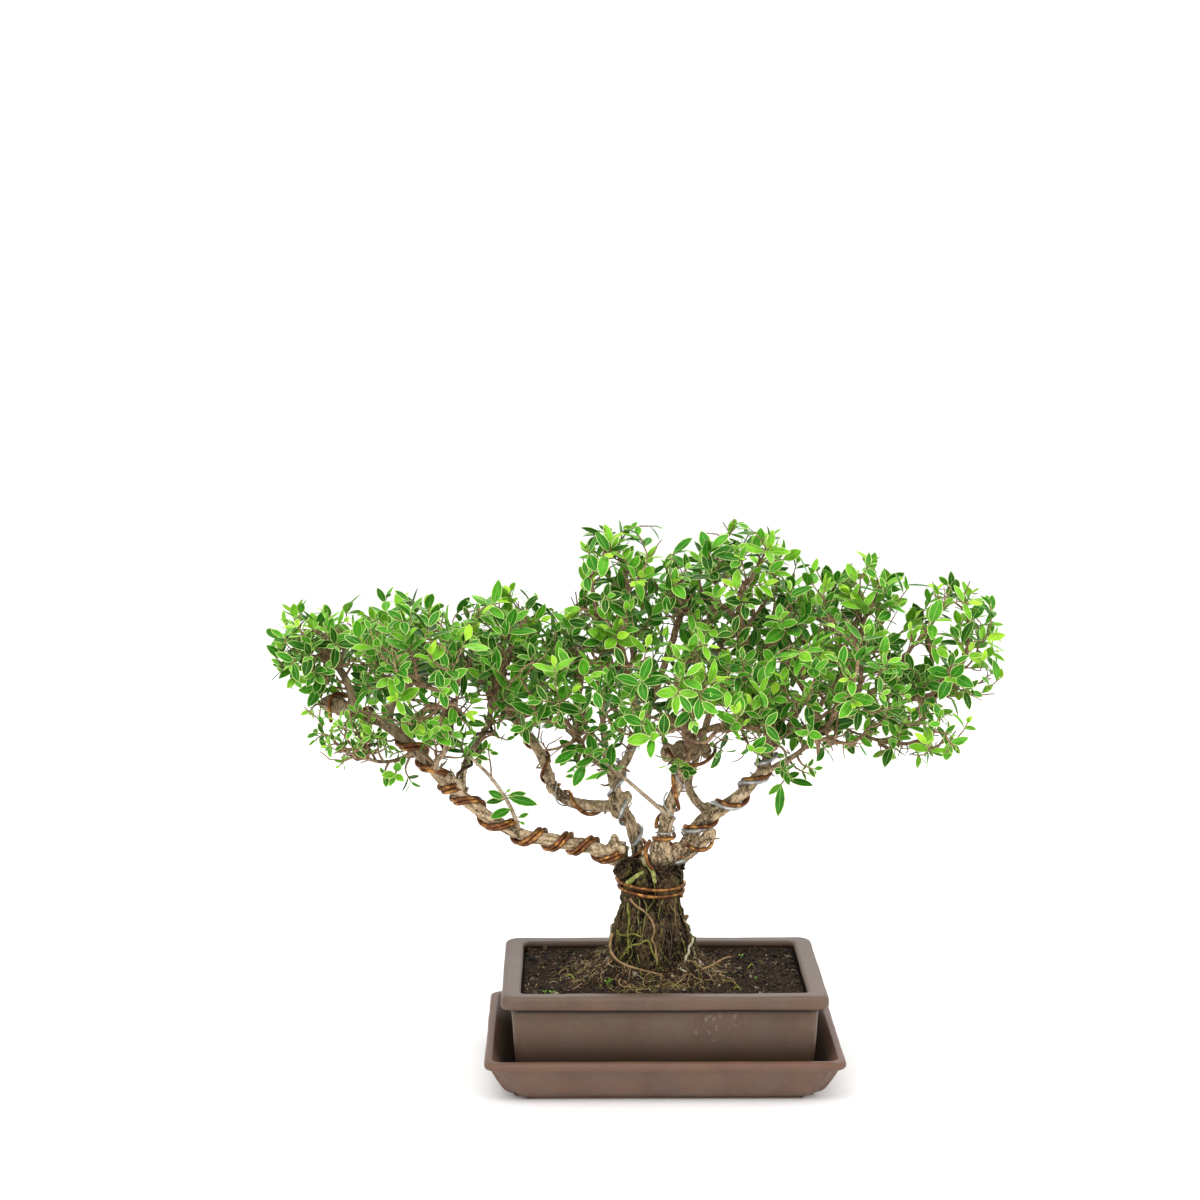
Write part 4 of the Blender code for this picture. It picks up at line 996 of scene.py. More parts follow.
# ======== soil
SOIL_EDGE_STEP = 1.5
SOIL_RINGS = 56
SOIL_CORE = 0.24  # share of the bed that the trunk hides
WALL_CLEAR = 0.3
MOUND_MIDDLE = (-8.0, 3.0)  # of the mound round the trunk
MOUND_HALF = (58.0, 46.0)
CRUMBS = 4400
CRUMB_SHARES = (0.74, 0.235, 0.025)
CRUMB_FINISHES = {
    "crumb_dark": ((0.005, 0.0035, 0.0025), (0.04, 0.025, 0.015), 0.95),
    "crumb_brown": ((0.032, 0.018, 0.009), (0.1, 0.056, 0.028), 0.9),
    "crumb_grit": ((0.2, 0.15, 0.1), (0.36, 0.29, 0.2), 0.85),
}
FIBRES = 1700
LONG_FIBRES = 300  # the first of them, which keep closer to the trunk
LONG_MIDDLE = (-12.0, -5.0)
FIBRE_LIMIT = np.array((103.0, 75.0))
FIBRE_SHARES = (0.3, 0.26, 0.05, 0.13, 0.26)
FIBRE_FINISHES = {
    "fibre_tan": ((0.22, 0.14, 0.062), (0.46, 0.33, 0.165)),
    "fibre_brown": ((0.07, 0.037, 0.016), (0.18, 0.1, 0.042)),
    "fibre_pale": ((0.36, 0.3, 0.19), (0.52, 0.46, 0.33)),
    "fibre_moss": ((0.09, 0.09, 0.013), (0.22, 0.21, 0.035)),
    "fibre_dark": ((0.02, 0.012, 0.006), (0.07, 0.042, 0.02)),
}
SEEDLING_FINISHES = {
    "seedling_green": ((0.2, 0.55, 0.04), (0.3, 0.65, 0.06), 0.5),
    "thread_green": ((0.4, 0.5, 0.06), (0.5, 0.56, 0.1), 0.6),
}
# place and size of each seedling; place, direction and length of each grass thread
SEEDLINGS = ((-42, -38, 1.0), (-39, -35, 0.8), (-83, -61, 1.0), (-88, -58, 0.7), (63, 48, 0.9),
             (-52, 44, 0.8), (70, -20, 0.6))
THREADS = ((52, -48, -0.9, 7.0), (66, 10, 0.4, 5.0), (-66, -18, 2.5, 7.0), (30, 56, 1.4, 6.0))


def soil_outline():
    """Even points round the top of the bed, against the pot's inner wall."""
    half_x, half_y = inset(pot_inside(SOIL_TOP), WALL_CLEAR)
    ring = np.array(box_ring(half_x, half_y, 0.0, POT_CORNER, 0.0))[:, :2]
    closed = np.vstack((ring, ring[:1]))
    along = np.concatenate(([0.0], np.cumsum(norm(np.diff(closed, axis=0), axis=1))))
    count = int(along[-1] / SOIL_EDGE_STEP)
    at = np.arange(count) * along[-1] / count
    return np.column_stack([np.interp(at, along, closed[:, k]) for k in (0, 1)])


def ground_heights(tree, places):
    """Heights of the plain bed under places seen from above."""
    heights = []
    for x, y in places:
        hit = tree.ray_cast(Vector((x, y, 200.0)), -UP)
        heights.append(hit[0].z if hit[0] is not None else SOIL_TOP)
    return np.array(heights)


def soil_bed():
    """The crumbly bed: rings drawn in from the pot's wall, raised into crumbs and clods."""
    base = tree_of(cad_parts["soil"])
    outline = soil_outline()
    size = len(outline)
    shares = np.linspace(1.0, SOIL_CORE, SOIL_RINGS)
    flat = np.concatenate([outline * share for share in shares])
    flat[size:] += 0.55 * np.column_stack([scatter_noise(np.column_stack((flat, flat[:, 0])), 1.7, k)
                                           for k in (3, 4)])[size:]
    points = np.column_stack((flat, ground_heights(base, flat)))
    wall = unit((1.0 - np.repeat(shares, size)) / 0.03)
    crumbs = 0.62 * domes(points, 4.6, 1) + 0.38 * domes(points, 2.3, 2)
    clods = unit(scatter_noise(points, 15.0, 5))
    lift = crumbs * (2.3 + 2.0 * clods) + 1.4 * clods + 0.7 * scatter_noise(points, 6.0, 8) - 0.9
    points[:, 2] += lift * (0.35 + 0.65 * wall) - 1.2 * (1 - wall)
    heap = Heap()
    skirt = points[:size].copy()
    skirt[:, 2] = SOIL_TOP - 9.0
    heap.add(np.concatenate((skirt, points)), grid_faces(SOIL_RINGS + 1, size))
    heap.close(0, size, True)
    heap.close(SOIL_RINGS * size, size, False)
    made = heap.build("soil_bed", [earth("soil_earth")])
    mound = unit((points[:, 2] - SOIL_TOP - 3.0) / 8.0)
    warm = mound * unit(0.6 + scatter_noise(points, 14.0, 20))
    none = np.zeros(size)
    # relief carries the crumbs' height, by which the soil's material paints light on their tops and shade
    # between them
    set_values(made, relief=np.concatenate((none, crumbs)), age=np.concatenate((none, warm)))
    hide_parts("soil")
    return made


def icosahedron():
    """Corners and faces of a regular twenty-faced pebble."""
    g = (1 + sqrt(5)) / 2
    corners = np.array([(-1, g, 0), (1, g, 0), (-1, -g, 0), (1, -g, 0), (0, -1, g), (0, 1, g), (0, -1, -g),
                        (0, 1, -g), (g, 0, -1), (g, 0, 1), (-g, 0, -1), (-g, 0, 1)]) / sqrt(1 + g * g)
    faces = ((0, 11, 5), (0, 5, 1), (0, 1, 7), (0, 7, 10), (0, 10, 11), (1, 5, 9), (5, 11, 4), (11, 10, 2),
             (10, 7, 6), (7, 1, 8), (3, 9, 4), (3, 4, 2), (3, 2, 6), (3, 6, 8), (3, 8, 9), (4, 9, 5),
             (2, 4, 11), (6, 2, 10), (8, 6, 7), (9, 8, 1))
    return corners, np.array(faces)


def bed_place(rng, near):
    """A random spot on the bed, kept near the mound by a share."""
    half_x, half_y = inset(pot_inside(SOIL_TOP), 3.0)
    if rng.random() < near:
        angle = rng.uniform(0, 2 * pi)
        reach = rng.uniform(0.55, 1.25)
        spot = (MOUND_MIDDLE[0] + MOUND_HALF[0] * reach * cos(angle),
                MOUND_MIDDLE[1] + MOUND_HALF[1] * reach * sin(angle))
    else:
        spot = (rng.uniform(-half_x, half_x), rng.uniform(-half_y, half_y))
    return np.clip(spot, (-half_x, -half_y), (half_x, half_y))


def scatter_crumbs(tree, rng):
    """Loose crumbs of soil, bark and grit lying on the bed."""
    corners, faces = icosahedron()
    heap = Heap()
    for _ in range(CRUMBS):
        x, y = bed_place(rng, 0.35)
        z = ground_heights(tree, [(x, y)])[0]
        size = rng.uniform(0.5, 1.5) * (1.9 if rng.random() < 0.08 else 1.0)
        stretch = rng.uniform(0.55, 1.25, 3)
        lumps = 1 + 0.25 * rng.uniform(-1, 1, len(corners))
        slot = rng.choice(3, p=CRUMB_SHARES)
        heap.add(corners * lumps[:, None] * stretch * size + (x, y, z + size * 0.25), faces, slot)
    made = heap.build("soil_crumbs", fibres_of(CRUMB_FINISHES), smooth=False)


def scatter_fibres(tree, rng):
    """Dead roots, moss threads and bark fibre matted over the mound."""
    heap = Heap()
    for k in range(FIBRES):
        long = k < LONG_FIBRES
        x, y = bed_place(rng, 1.0 if long else 0.82)
        if long:
            x = LONG_MIDDLE[0] + (x - MOUND_MIDDLE[0]) * 0.86
            y = LONG_MIDDLE[1] + (y - MOUND_MIDDLE[1]) * 0.8
        heading = rng.uniform(0, 2 * pi)
        steps = rng.integers(7, 16) if long else rng.integers(3, 6)
        reach = 2.0 if long else 1.5
        curl = rng.normal(0, 0.22)
        rise = rng.uniform(0.2, 1.9)
        spots = []
        for _ in range(steps):
            spots.append((x, y))
            heading += curl + rng.normal(0, 0.25)
            x += reach * cos(heading)
            y += reach * sin(heading)
        spots = np.clip(spots, -FIBRE_LIMIT, FIBRE_LIMIT)
        heights = ground_heights(tree, spots)
        arch = np.sin(np.linspace(0, pi, steps)) * rise + rng.uniform(-0.1, 0.5)
        radius = rng.uniform(0.28, 0.56) if long else rng.uniform(0.15, 0.36)
        line = np.column_stack((spots, heights + arch))
        slot = rng.choice(5, p=FIBRE_SHARES)
        heap.tube(line, np.linspace(radius, radius * 0.5, steps), 4, slot, capped=False)
    made = heap.build("soil_fibres", fibres_of(FIBRE_FINISHES))


def seedlings(tree, rng):
    """A few tiny green seedlings and grass threads on the bed."""
    heap = Heap()
    for x, y, size in SEEDLINGS:
        z = ground_heights(tree, [(x, y)])[0]
        top = np.array((x, y, z + 2.6 * size))
        heap.tube([(x, y, z - 0.5), (x + 0.2, y, z + 1.2 * size), top], (0.3, 0.28, 0.25), 4, 0)
        for turn in rng.uniform(0, 1) + np.arange(3) * 2.1:
            away = np.array((cos(turn), sin(turn), 0.45))
            side = np.array((-sin(turn), cos(turn), 0.0))
            leaf = [top, top + away * 1.3 * size + side * 0.8 * size, top + away * 2.8 * size,
                    top + away * 1.3 * size - side * 0.8 * size]
            heap.add(leaf, [(0, 1, 2, 3)], 0)
    for x, y, turn, length in THREADS:
        z = ground_heights(tree, [(x, y)])[0]
        line = [(x + cos(turn) * length * t, y + sin(turn) * length * t,
                 z + 0.6 + 3 * sin(2.6 * t)) for t in (0, 0.25, 0.5, 0.75, 1)]
        heap.tube(line, (0.32, 0.36, 0.34, 0.28, 0.15), 4, 1)
    made = heap.build("seedlings", fibres_of(SEEDLING_FINISHES), smooth=False)


class BONSAI_OT_soil(bpy.types.Operator):
    """Fill the pot and scatter the litter over its mound"""

    bl_idname = "bonsai.soil"
    bl_label = "Soil"

    def execute(self, context):
        rng = np.random.default_rng(71)
        tree = tree_of(soil_bed())
        scatter_crumbs(tree, rng)
        scatter_fibres(tree, rng)
        seedlings(tree, rng)
        return {"FINISHED"}


# ======== trunk and boughs
class Limb:
    """A bough: its smooth route and its radius along it."""

    def __init__(self, name, thick, thin, route):
        self.name = name
        self.points = curve_through(route, 3.0)
        self.frames = frames_along(self.points)
        steps = [(b - a).length for a, b in zip(self.points, self.points[1:])]
        self.along = np.concatenate(([0.0], np.cumsum(steps)))
        self.length = self.along[-1]
        self.ends = (thick / 2, thin / 2)

    def radius(self, distance):
        share = min(max(distance / self.length, 0.0), 1.0)
        return self.ends[0] + (self.ends[1] - self.ends[0]) * share ** 0.8

    def at(self, distance):
        """Point and frame at a distance along the limb."""
        i = int(np.clip(np.searchsorted(self.along, distance, "right") - 1, 0, len(self.along) - 2))
        t = (distance - self.along[i]) / (self.along[i + 1] - self.along[i])
        point = self.points[i].lerp(self.points[i + 1], t)
        tangent = self.frames[i][0].lerp(self.frames[i + 1][0], t).normalized()
        normal = self.frames[i][1].lerp(self.frames[i + 1][1], t)
        normal = (normal - tangent * normal.dot(tangent)).normalized()
        return point, (tangent, normal, tangent.cross(normal))


LIMB_OF = {row[0]: Limb(*row) for row in LIMBS}
SPRIG_OF = {row[0]: Limb(*row[:4]) for row in SPRIGS}


def trunk_section(share):
    """Middle, height and half sizes of the trunk at a share of its height."""
    rings = np.array(TRUNK_RINGS)
    cx, cy, half_x, half_y = (np.interp(share, rings[:, 0], rings[:, k]) for k in (1, 2, 3, 4))
    return cx, cy, TRUNK_BASE + TRUNK_TALL * share, half_x, half_y


def trunk_point(angle, share, grow=0.0):
    """A point of the trunk's plain surface, by direction round it and share of its height."""
    cx, cy, height, half_x, half_y = trunk_section(share)
    lobes = 1 + 0.07 * (1.1 - share) * cos(TRUNK_LOBES * angle + 2.4 * share)
    return Vector((cx + (half_x * lobes + grow) * cos(angle),
                   cy + (half_y * lobes + grow) * sin(angle), height))


def rough_wood():
    """Trunk, boughs and burls as overlapping closed bodies."""
    heap = Heap()
    sides = 48
    angles = np.arange(sides) * 2 * pi / sides
    shares = np.linspace(TRUNK_RINGS[0][0], TRUNK_RINGS[-1][0], 34)
    rings = [tuple(trunk_point(a, share)) for share in shares for a in angles]
    heap.add(rings, grid_faces(len(shares), sides))
    heap.close(0, sides, True)
    heap.close((len(shares) - 1) * sides, sides, False)
    for limb in LIMB_OF.values():
        radii = [limb.radius(d) for d in limb.along]
        heap.tube(limb.points, radii, 14)
    for centre, radius in BURLS:
        line = [Vector(centre) + Vector((0, 0, radius * t)) for t in (-0.55, 0.0, 0.55)]
        heap.tube(line, (radius * 0.8, radius, radius * 0.8), 12)
    return heap.build("rough_wood", [])


def skin_over(item, voxel):
    """Points and faces of one closed skin over an object's overlapping bodies."""
    skin = item.modifiers.new("skin", "REMESH")
    skin.mode = "VOXEL"
    skin.voxel_size = voxel
    graph = bpy.context.evaluated_depsgraph_get()
    fresh = bpy.data.meshes.new_from_object(item.evaluated_get(graph))
    points = mesh_points(fresh)
    corners = np.zeros(len(fresh.loops), int)
    fresh.loops.foreach_get("vertex_index", corners)
    faces = corners.reshape(-1, 4)
    bpy.data.objects.remove(item)
    bpy.data.meshes.remove(fresh)
    return points, faces


def relaxed(points, faces, rounds):
    """Points eased towards the middle of their neighbours."""
    pairs = np.concatenate([faces[:, (k, (k + 1) % 4)] for k in range(4)])
    pairs = np.concatenate((pairs, pairs[:, ::-1]))
    count = np.bincount(pairs[:, 0], minlength=len(points))[:, None]
    for _ in range(rounds):
        total = np.column_stack([np.bincount(pairs[:, 0], points[pairs[:, 1], k], len(points))
                                 for k in range(3)])
        points = points * 0.4 + total / count * 0.6
    return points


def point_normals(points, faces):
    """Unit normals of a mesh of quads."""
    a = points[faces[:, 2]] - points[faces[:, 0]]
    b = points[faces[:, 3]] - points[faces[:, 1]]
    flat = np.cross(a, b)
    total = np.zeros_like(points)
    for k in range(4):
        for axis in range(3):
            total[:, axis] += np.bincount(faces[:, k], flat[:, axis], len(points))
    return total / np.maximum(norm(total, axis=1, keepdims=True), 1e-9)


def wood_places(points):
    """For each point: which limb it lies on, place along and across the grain, and girth."""
    rows = []
    for share in np.linspace(0.0, 0.95, 24):
        cx, cy, height, half_x, half_y = trunk_section(share)
        rows.append((-1, cx, cy, height, 0, 0, 1, 1, 0, 0, TRUNK_TALL * share, (half_x + half_y) / 2))
    for k, limb in enumerate(LIMB_OF.values()):
        for point, (tangent, normal, _), distance in zip(limb.points, limb.frames, limb.along):
            rows.append((k, *point, *tangent, *normal, distance, limb.radius(distance)))
    table = np.array(rows, float)
    centres, tangents, normals = table[:, 1:4], table[:, 4:7], table[:, 7:10]
    owners, along, girth = table[:, 0].astype(int), table[:, 10], table[:, 11]
    nearest = np.zeros(len(points), int)
    for start in range(0, len(points), 4000):
        part = points[start:start + 4000]
        gaps = norm(part[:, None] - centres[None], axis=2) - girth
        nearest[start:start + 4000] = np.argmin(gaps, axis=1)
    away = points - centres[nearest]
    t, n = tangents[nearest], normals[nearest]
    b = np.cross(t, n)
    place = np.column_stack((along[nearest] + (away * t).sum(1), (away * n).sum(1), (away * b).sum(1)))
    return owners[nearest], place, girth[nearest]


def bark_relief(points, owners, place, girth):
    """How far the bark stands out at each point, and the part of it that colours it."""
    grain = place + 37.0 * (owners + 2)[:, None]
    lumps = scatter_noise(grain, 12.0, 1, (0.7, 1.0, 1.0))
    furrow = np.abs(scatter_noise(grain, 3.4, 2, (0.3, 1.0, 1.0)))
    cracks = -unit(1.0 - furrow * 3.2)
    flakes = scatter_noise(grain, 2.3, 3, (0.45, 1.0, 1.0))
    flakes = flakes + 0.6 * scatter_noise(grain, 1.3, 4, (0.6, 1.0, 1.0))
    knots = unit(scatter_noise(grain, 8.0, 6, (1.0, 0.35, 0.35)) - 0.35)
    thin = np.clip(girth / 8.0, 0.3, 1.1)
    bough = thin * (0.8 * lumps + 1.0 * cracks + 0.62 * flakes + 1.9 * knots)
    ridge = np.abs(layered(points, 8.5, 9, (1.0, 1.0, 0.32), 2))
    small = np.abs(scatter_noise(points, 3.2, 15, (1.0, 1.0, 0.45)))
    shaggy = layered(points, 2.4, 18, (1.0, 1.0, 0.6), 2)
    deep = unit(1.0 - ridge * 2.6)
    shallow = unit(1.0 - small * 3.0)
    trunk = 1.5 - 3.6 * deep ** 1.5 - 1.3 * shallow
    trunk += 1.15 * shaggy + 1.2 * scatter_noise(points, 15.0, 22)
    on_trunk = (owners < 0).astype(float)
    foot = unit((points[:, 2] - TRUNK_BASE + 6.0) / 8.0)
    tone_bough = 0.55 * flakes + 0.9 * cracks + 0.2 * lumps + 0.3
    tone_trunk = 0.7 - 1.5 * deep - 0.7 * shallow + 0.4 * shaggy
    return bough, trunk * foot, np.where(on_trunk > 0, tone_trunk, tone_bough), on_trunk


def build_bark(look):
    """The trunk and the boughs under one skin of bark, kept as two pieces."""
    points, faces = skin_over(rough_wood(), look.voxel)
    points = relaxed(points, faces, 2)
    owners, place, girth = wood_places(points)
    bough, trunk, tone, on_trunk = bark_relief(points, owners, place, girth)
    for _ in range(10):
        on_trunk = relaxed(np.column_stack((on_trunk,) * 3), faces, 1)[:, 0]
    out = bough * (1 - on_trunk) + trunk * on_trunk * look.relief / (2.2 * MM)
    normals = point_normals(points, faces)
    points = points + normals * out[:, None]
    height = points[:, 2] + 7.0 * scatter_noise(points, 12.0, 30)
    age = unit((171.0 - height) / 9.0)
    age = age * unit(on_trunk * 2.0 + (166.0 - height) / 7.0)
    normals = point_normals(points, faces)
    part = owners[faces[:, 0]] < 0
    surface = wood("bark_skin", look.bark, look.old_bark)
    pieces = []
    for name, chosen, nodes, slot in (
            ("trunk_bark", part, ["trunk"], "old_bark"),
            ("bough_bark", ~part, list(LIMB_OF), "bark")):
        used, corners = np.unique(faces[chosen], return_inverse=True)
        heap = Heap()
        heap.add(points[used], corners.reshape(-1, 4))
        made = heap.build(name, [surface])
        made.data.normals_split_custom_set_from_vertices([tuple(n) for n in normals[used]])
        set_values(made, relief=tone[used], age=age[used])
        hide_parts(*nodes)
        pieces.append(made)
    return pieces


class BONSAI_OT_wood(bpy.types.Operator):
    """Grow the trunk and the boughs, with the relief of their bark"""

    bl_idname = "bonsai.wood"
    bl_label = "Trunk and boughs"

    def execute(self, context):
        trunk, boughs = build_bark(context.scene.bonsai_wood)
        trunk_roots(tree_of(trunk))
        bough_spurs()
        return {"FINISHED"}


ROOT_FINISHES = {
    "root_tan": ((0.34, 0.22, 0.1), (0.17, 0.105, 0.045)),
    "root_pale": ((0.5, 0.46, 0.33), (0.28, 0.27, 0.13)),
    "root_green": ((0.1, 0.11, 0.016), (0.24, 0.24, 0.045)),
    "moss": ((0.17, 0.2, 0.028), (0.42, 0.43, 0.15)),
    "root_dark": ((0.035, 0.022, 0.011), (0.1, 0.062, 0.03)),
}
ROOT_SHARES = (0.16, 0.03, 0.16, 0.03, 0.62)  # of the finishes among the fine roots
FINE_ROOTS = 90
GOLDEN = 2.39996  # the golden angle
STUB_SPACING = 16  # length of bough for each dead spur
STUBS_FROM = 172  # height above which they stand
TWIG_TONES = ((0.15, 0.08, 0.044), (0.34, 0.215, 0.12))
SPRIG_TONES = ((0.27, 0.19, 0.12), (0.52, 0.42, 0.29))


def pulled_on(tree, line, radii):
    """A line of points laid on a surface, the middle a little proud of it."""
    laid = []
    for point, radius in zip(line, radii):
        spot, normal, _, gap = tree.find_nearest(point)
        if spot is None or gap > 9.0:
            laid.append(point)
        else:
            laid.append(spot + normal * radius * 0.45)
    for _ in range(2):
        eased = [a * 0.25 + b * 0.5 + c * 0.25 for a, b, c in zip(laid, laid[1:], laid[2:])]
        laid = [laid[0], *eased, laid[-1]]
    return laid


def trunk_roots(tree):
    """The roots that show on the trunk, and the fine ones that wander down it all round."""
    heap = Heap()
    names = list(ROOT_FINISHES)
    rng = np.random.default_rng(23)
    for finish, thick, thin, route in TRUNK_ROOTS:
        line = curve_through(route, 2.0)
        radii = np.linspace(thick, thin, len(line)) * (1 + 0.14 * rng.uniform(-1, 1, len(line)))
        heap.tube(pulled_on(tree, line, radii), radii, 7, names.index(finish))
    for k in range(FINE_ROOTS):
        angle = k * GOLDEN
        share = rng.uniform(0.3, 0.9) if k % 3 else rng.uniform(0.1, 0.4)
        line = []
        while share > -0.02 and len(line) < 22:
            line.append(trunk_point(angle, share))
            angle += rng.normal(0, 0.06)
            share -= 0.035
        if len(line) > 3:
            radii = np.linspace(rng.uniform(0.3, 0.6), 0.22, len(line))
            heap.tube(pulled_on(tree, line, radii), radii, 5, rng.choice(5, p=ROOT_SHARES))
    made = heap.build("trunk_roots", fibres_of(ROOT_FINISHES))


def bough_spurs():
    """Short dead spurs and pruned stubs that stand on the boughs."""
    heap = Heap()
    rng = np.random.default_rng(5)
    for limb in LIMB_OF.values():
        for _ in range(int(limb.length / STUB_SPACING)):
            distance = rng.uniform(0.15, 0.95) * limb.length
            point, (tangent, n, b) = limb.at(distance)
            turn = rng.uniform(0, 2 * pi)
            away = (n * cos(turn) + b * sin(turn)) + tangent * rng.uniform(0.1, 0.7) + UP * 0.4
            away.normalize()
            start = point + away * limb.radius(distance) * 0.7
            if start.z < STUBS_FROM:
                continue
            length = rng.uniform(2.0, 7.0)
            radius = rng.uniform(0.5, 1.2)
            bend = Vector(rng.uniform(-0.8, 0.8, 3))
            line = [start, start + away * length * 0.5 + bend * 0.5, start + away * length + bend]
            heap.tube(line, (radius * 1.4, radius, radius * 0.8), 6)
    made = heap.build("bough_spurs", [twig_bark("twig_bark", *TWIG_TONES)])


# ======== training wire
def lay_wire(heap, limb, diameter, slot, course):
    """A wire laid along a limb, close to its bark, by its distances and angles."""
    line = []
    for distance, angle in course:
        point, (_, normal, binormal) = limb.at(distance)
        clear = limb.radius(distance) + diameter * 0.5 + 0.35
        line.append(point + (normal * cos(angle) + binormal * sin(angle)) * clear)
    heap.tube(line, diameter / 2, 10 if diameter > 2 else 7, slot)


def front_angle(limb, distance):
    """The angle round a limb that faces the front."""
    _, (_, normal, binormal) = limb.at(distance)
    return atan2(-binormal.y, -normal.y)


def wound_wire(heap, limb, diameter, hand, start, end, lag, turns):
    """A wire wound on a limb from start to end, which crosses the front more slowly."""
    places, numbers = (list(column) for column in zip(*turns))
    first, last = places[1] - places[0], places[-1] - places[-2]
    places = [places[0] - 9 * first, *places, places[-1] + 9 * last]
    numbers = [numbers[0] - 9, *numbers, numbers[-1] + 9]
    span = np.interp((start - lag, end - lag), places, numbers)
    course = []
    for distance in np.linspace(start, end, round((span[1] - span[0]) * WIRE_STEPS) + 1):
        past = 2 * pi * float(np.interp(distance - lag, places, numbers))
        slow = WIRE_SWAY * (end - start) / (span[1] - span[0]) * sin(past)
        course.append((min(max(distance + slow, start), end), front_angle(limb, distance) + hand * past))
    lay_wire(heap, limb, diameter, 0, course)


def short_wire(heap, limb, diameter, pitch, front, turns, slot):
    """A short winding that crosses a limb's front at a given distance."""
    first = front_angle(limb, front)
    course = []
    for past in np.linspace(-turns / 2, turns / 2, max(8, round(turns * WIRE_STEPS))):
        distance = min(max(front + past * abs(pitch), 0.0), limb.length)
        course.append((distance, first + copysign(past * 2 * pi, past * pitch)))
    lay_wire(heap, limb, diameter, slot, course)


def ring_wire(heap):
    """The leaning rings of wire round the trunk."""
    line = []
    for i in range(round(RING_TURNS * RING_STEPS) + 1):
        angle = 2 * pi * i / RING_STEPS
        height = RING_HEIGHTS[0] + (RING_HEIGHTS[1] - RING_HEIGHTS[0]) * i / (RING_TURNS * RING_STEPS)
        share = (height - TRUNK_BASE) / TRUNK_TALL
        share += (RING_TILT * sin(angle) - RING_LEAN * cos(angle)) / TRUNK_TALL
        line.append(trunk_point(angle, share, RING_WIRE / 2 + 0.4 + 0.5 * sin(3 * angle + 1)))
    heap.tube(line, RING_WIRE / 2, 10)


class BONSAI_OT_wires(bpy.types.Operator):
    """Wind the training wires"""

    bl_idname = "bonsai.wires"
    bl_label = "Training wires"

    def execute(self, context):
        look = context.scene.bonsai_wood
        finishes = {
            "copper": wire_metal("wire_copper", look.copper, (0.15, 0.056, 0.022), 0.25),
            "silver": wire_metal("wire_silver", look.silver, (0.38, 0.38, 0.37), 0.38),
            "dark": wire_metal("wire_dark", (0.2, 0.105, 0.075), (0.085, 0.045, 0.035), 0.5),
        }
        names = list(finishes)
        for name, on, finish, diameter, hand, start, end, lag, turns in WIRES:
            heap = Heap()
            wound_wire(heap, LIMB_OF[on], diameter, hand, start, end, lag, turns)
            made = heap.build(name + "_wound", [finishes[finish]])
            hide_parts(name)
        heap = Heap()
        ring_wire(heap)
        made = heap.build("wire_trunk_wound", [finishes["copper"]])
        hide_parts("wire_trunk")
        heap = Heap()
        for on, finish, diameter, pitch, front, turns in FINE_WIRES:
            short_wire(heap, LIMB_OF[on], diameter, pitch, front, turns, names.index(finish))
        for finish, diameter, points in BENT_WIRES:
            heap.tube(curve_through(points, 1.5), diameter / 2, 10, names.index(finish))
        made = heap.build("wires_fine", list(finishes.values()))
        return {"FINISHED"}


# ======== twigs and leaves
TWIG_STEP = 4.5
TIP_RADIUS = 0.55
TWIG_POWER = 2.3  # by which the radii of a fork's twigs add up
LEAF_SPARE = 6.0  # how far a leaf may pass the edge of its mass's own space
TWIG_SPARE = 2.0
LEAF_CLEAR = 3.0  # least distance between the middles of two leaves
WOOD_CLEAR = 1.5  # and between a leaf and a bough
PAIR_GAP = 4.6
PAIR_SIZES = (0.8, 0.95, 1.06)  # size and spread of a twig's pairs of leaves, from its tip backwards
PAIR_SPREADS = (0.85, 0.95, 1.1)
FRESH_SHARE = 0.42  # share of the tips whose newest pair is still small and closed
FRESH_SIZE = 0.55
FRESH_SPREAD = 0.4
TRIES = 5  # for a place where a leaf lies clear of the others
SHOOT_REACH = (0.5, 0.75)  # how far out in their mass the shoots and the leafy twigs end
TWIG_REACH = (0.45, 1.0)
SHORTEST_TWIG = 6.0
TWIG_CLEAR = 4.0  # least distance between a twig's end and the twigs before it
BARE_TWIGS = 8  # short bare twigs for each shoot
LOW_BARE = 0.55  # share of the low twigs that carry no leaves
SECOND_SPRAY = 0.55  # share of the tips with one more pair behind them
# shares of the first four tones in the upper part of a mass and in the lower part: painted light above, with
# more light and bright leaves, and painted shade below, with more deep ones
HIGH_TONES = (0.12, 0.33, 0.32, 0.23)
LOW_TONES = (0.3, 0.38, 0.22, 0.1)
# sky seen through the crown: middle and half size across and up, at the depth of the trunk
GAPS = (
    ((175.0, 342.0), (9.0, 7.0)),
    ((-77.0, 374.0), (17.0, 22.0)),
    ((-24.0, 318.0), (6.0, 7.0)),
    ((18.0, 243.0), (24.0, 8.0)),
    ((-209.0, 265.0), (9.0, 7.0)),
    ((-197.0, 255.0), (9.0, 8.0)),
    ((-185.0, 244.0), (9.0, 8.0)),
    ((-173.0, 233.0), (9.0, 8.0)),
)
EYE = np.array((-69.55, -2265.96, 663.68))  # where the openings are seen from

# half widths from a leaf's stalk to its tip, as shares of its widest: outline and midrib
LEAF_STATIONS = np.array((0.0, 0.1, 0.24, 0.44, 0.66, 0.86, 1.0))
LEAF_OUTLINE = np.array((0.15, 0.36, 0.77, 1.0, 0.93, 0.54, 0.0))
LEAF_RIB = np.array((0.05, 0.09, 0.07, 0.055, 0.04, 0.02, 0.0))


# the ellipsoids that the foliage masses keep to
SPACE_MIDDLES = np.array([row[2] for row in MASSES + FILLS], float)
SPACE_RADII = np.array([row[3] for row in MASSES + FILLS], float)


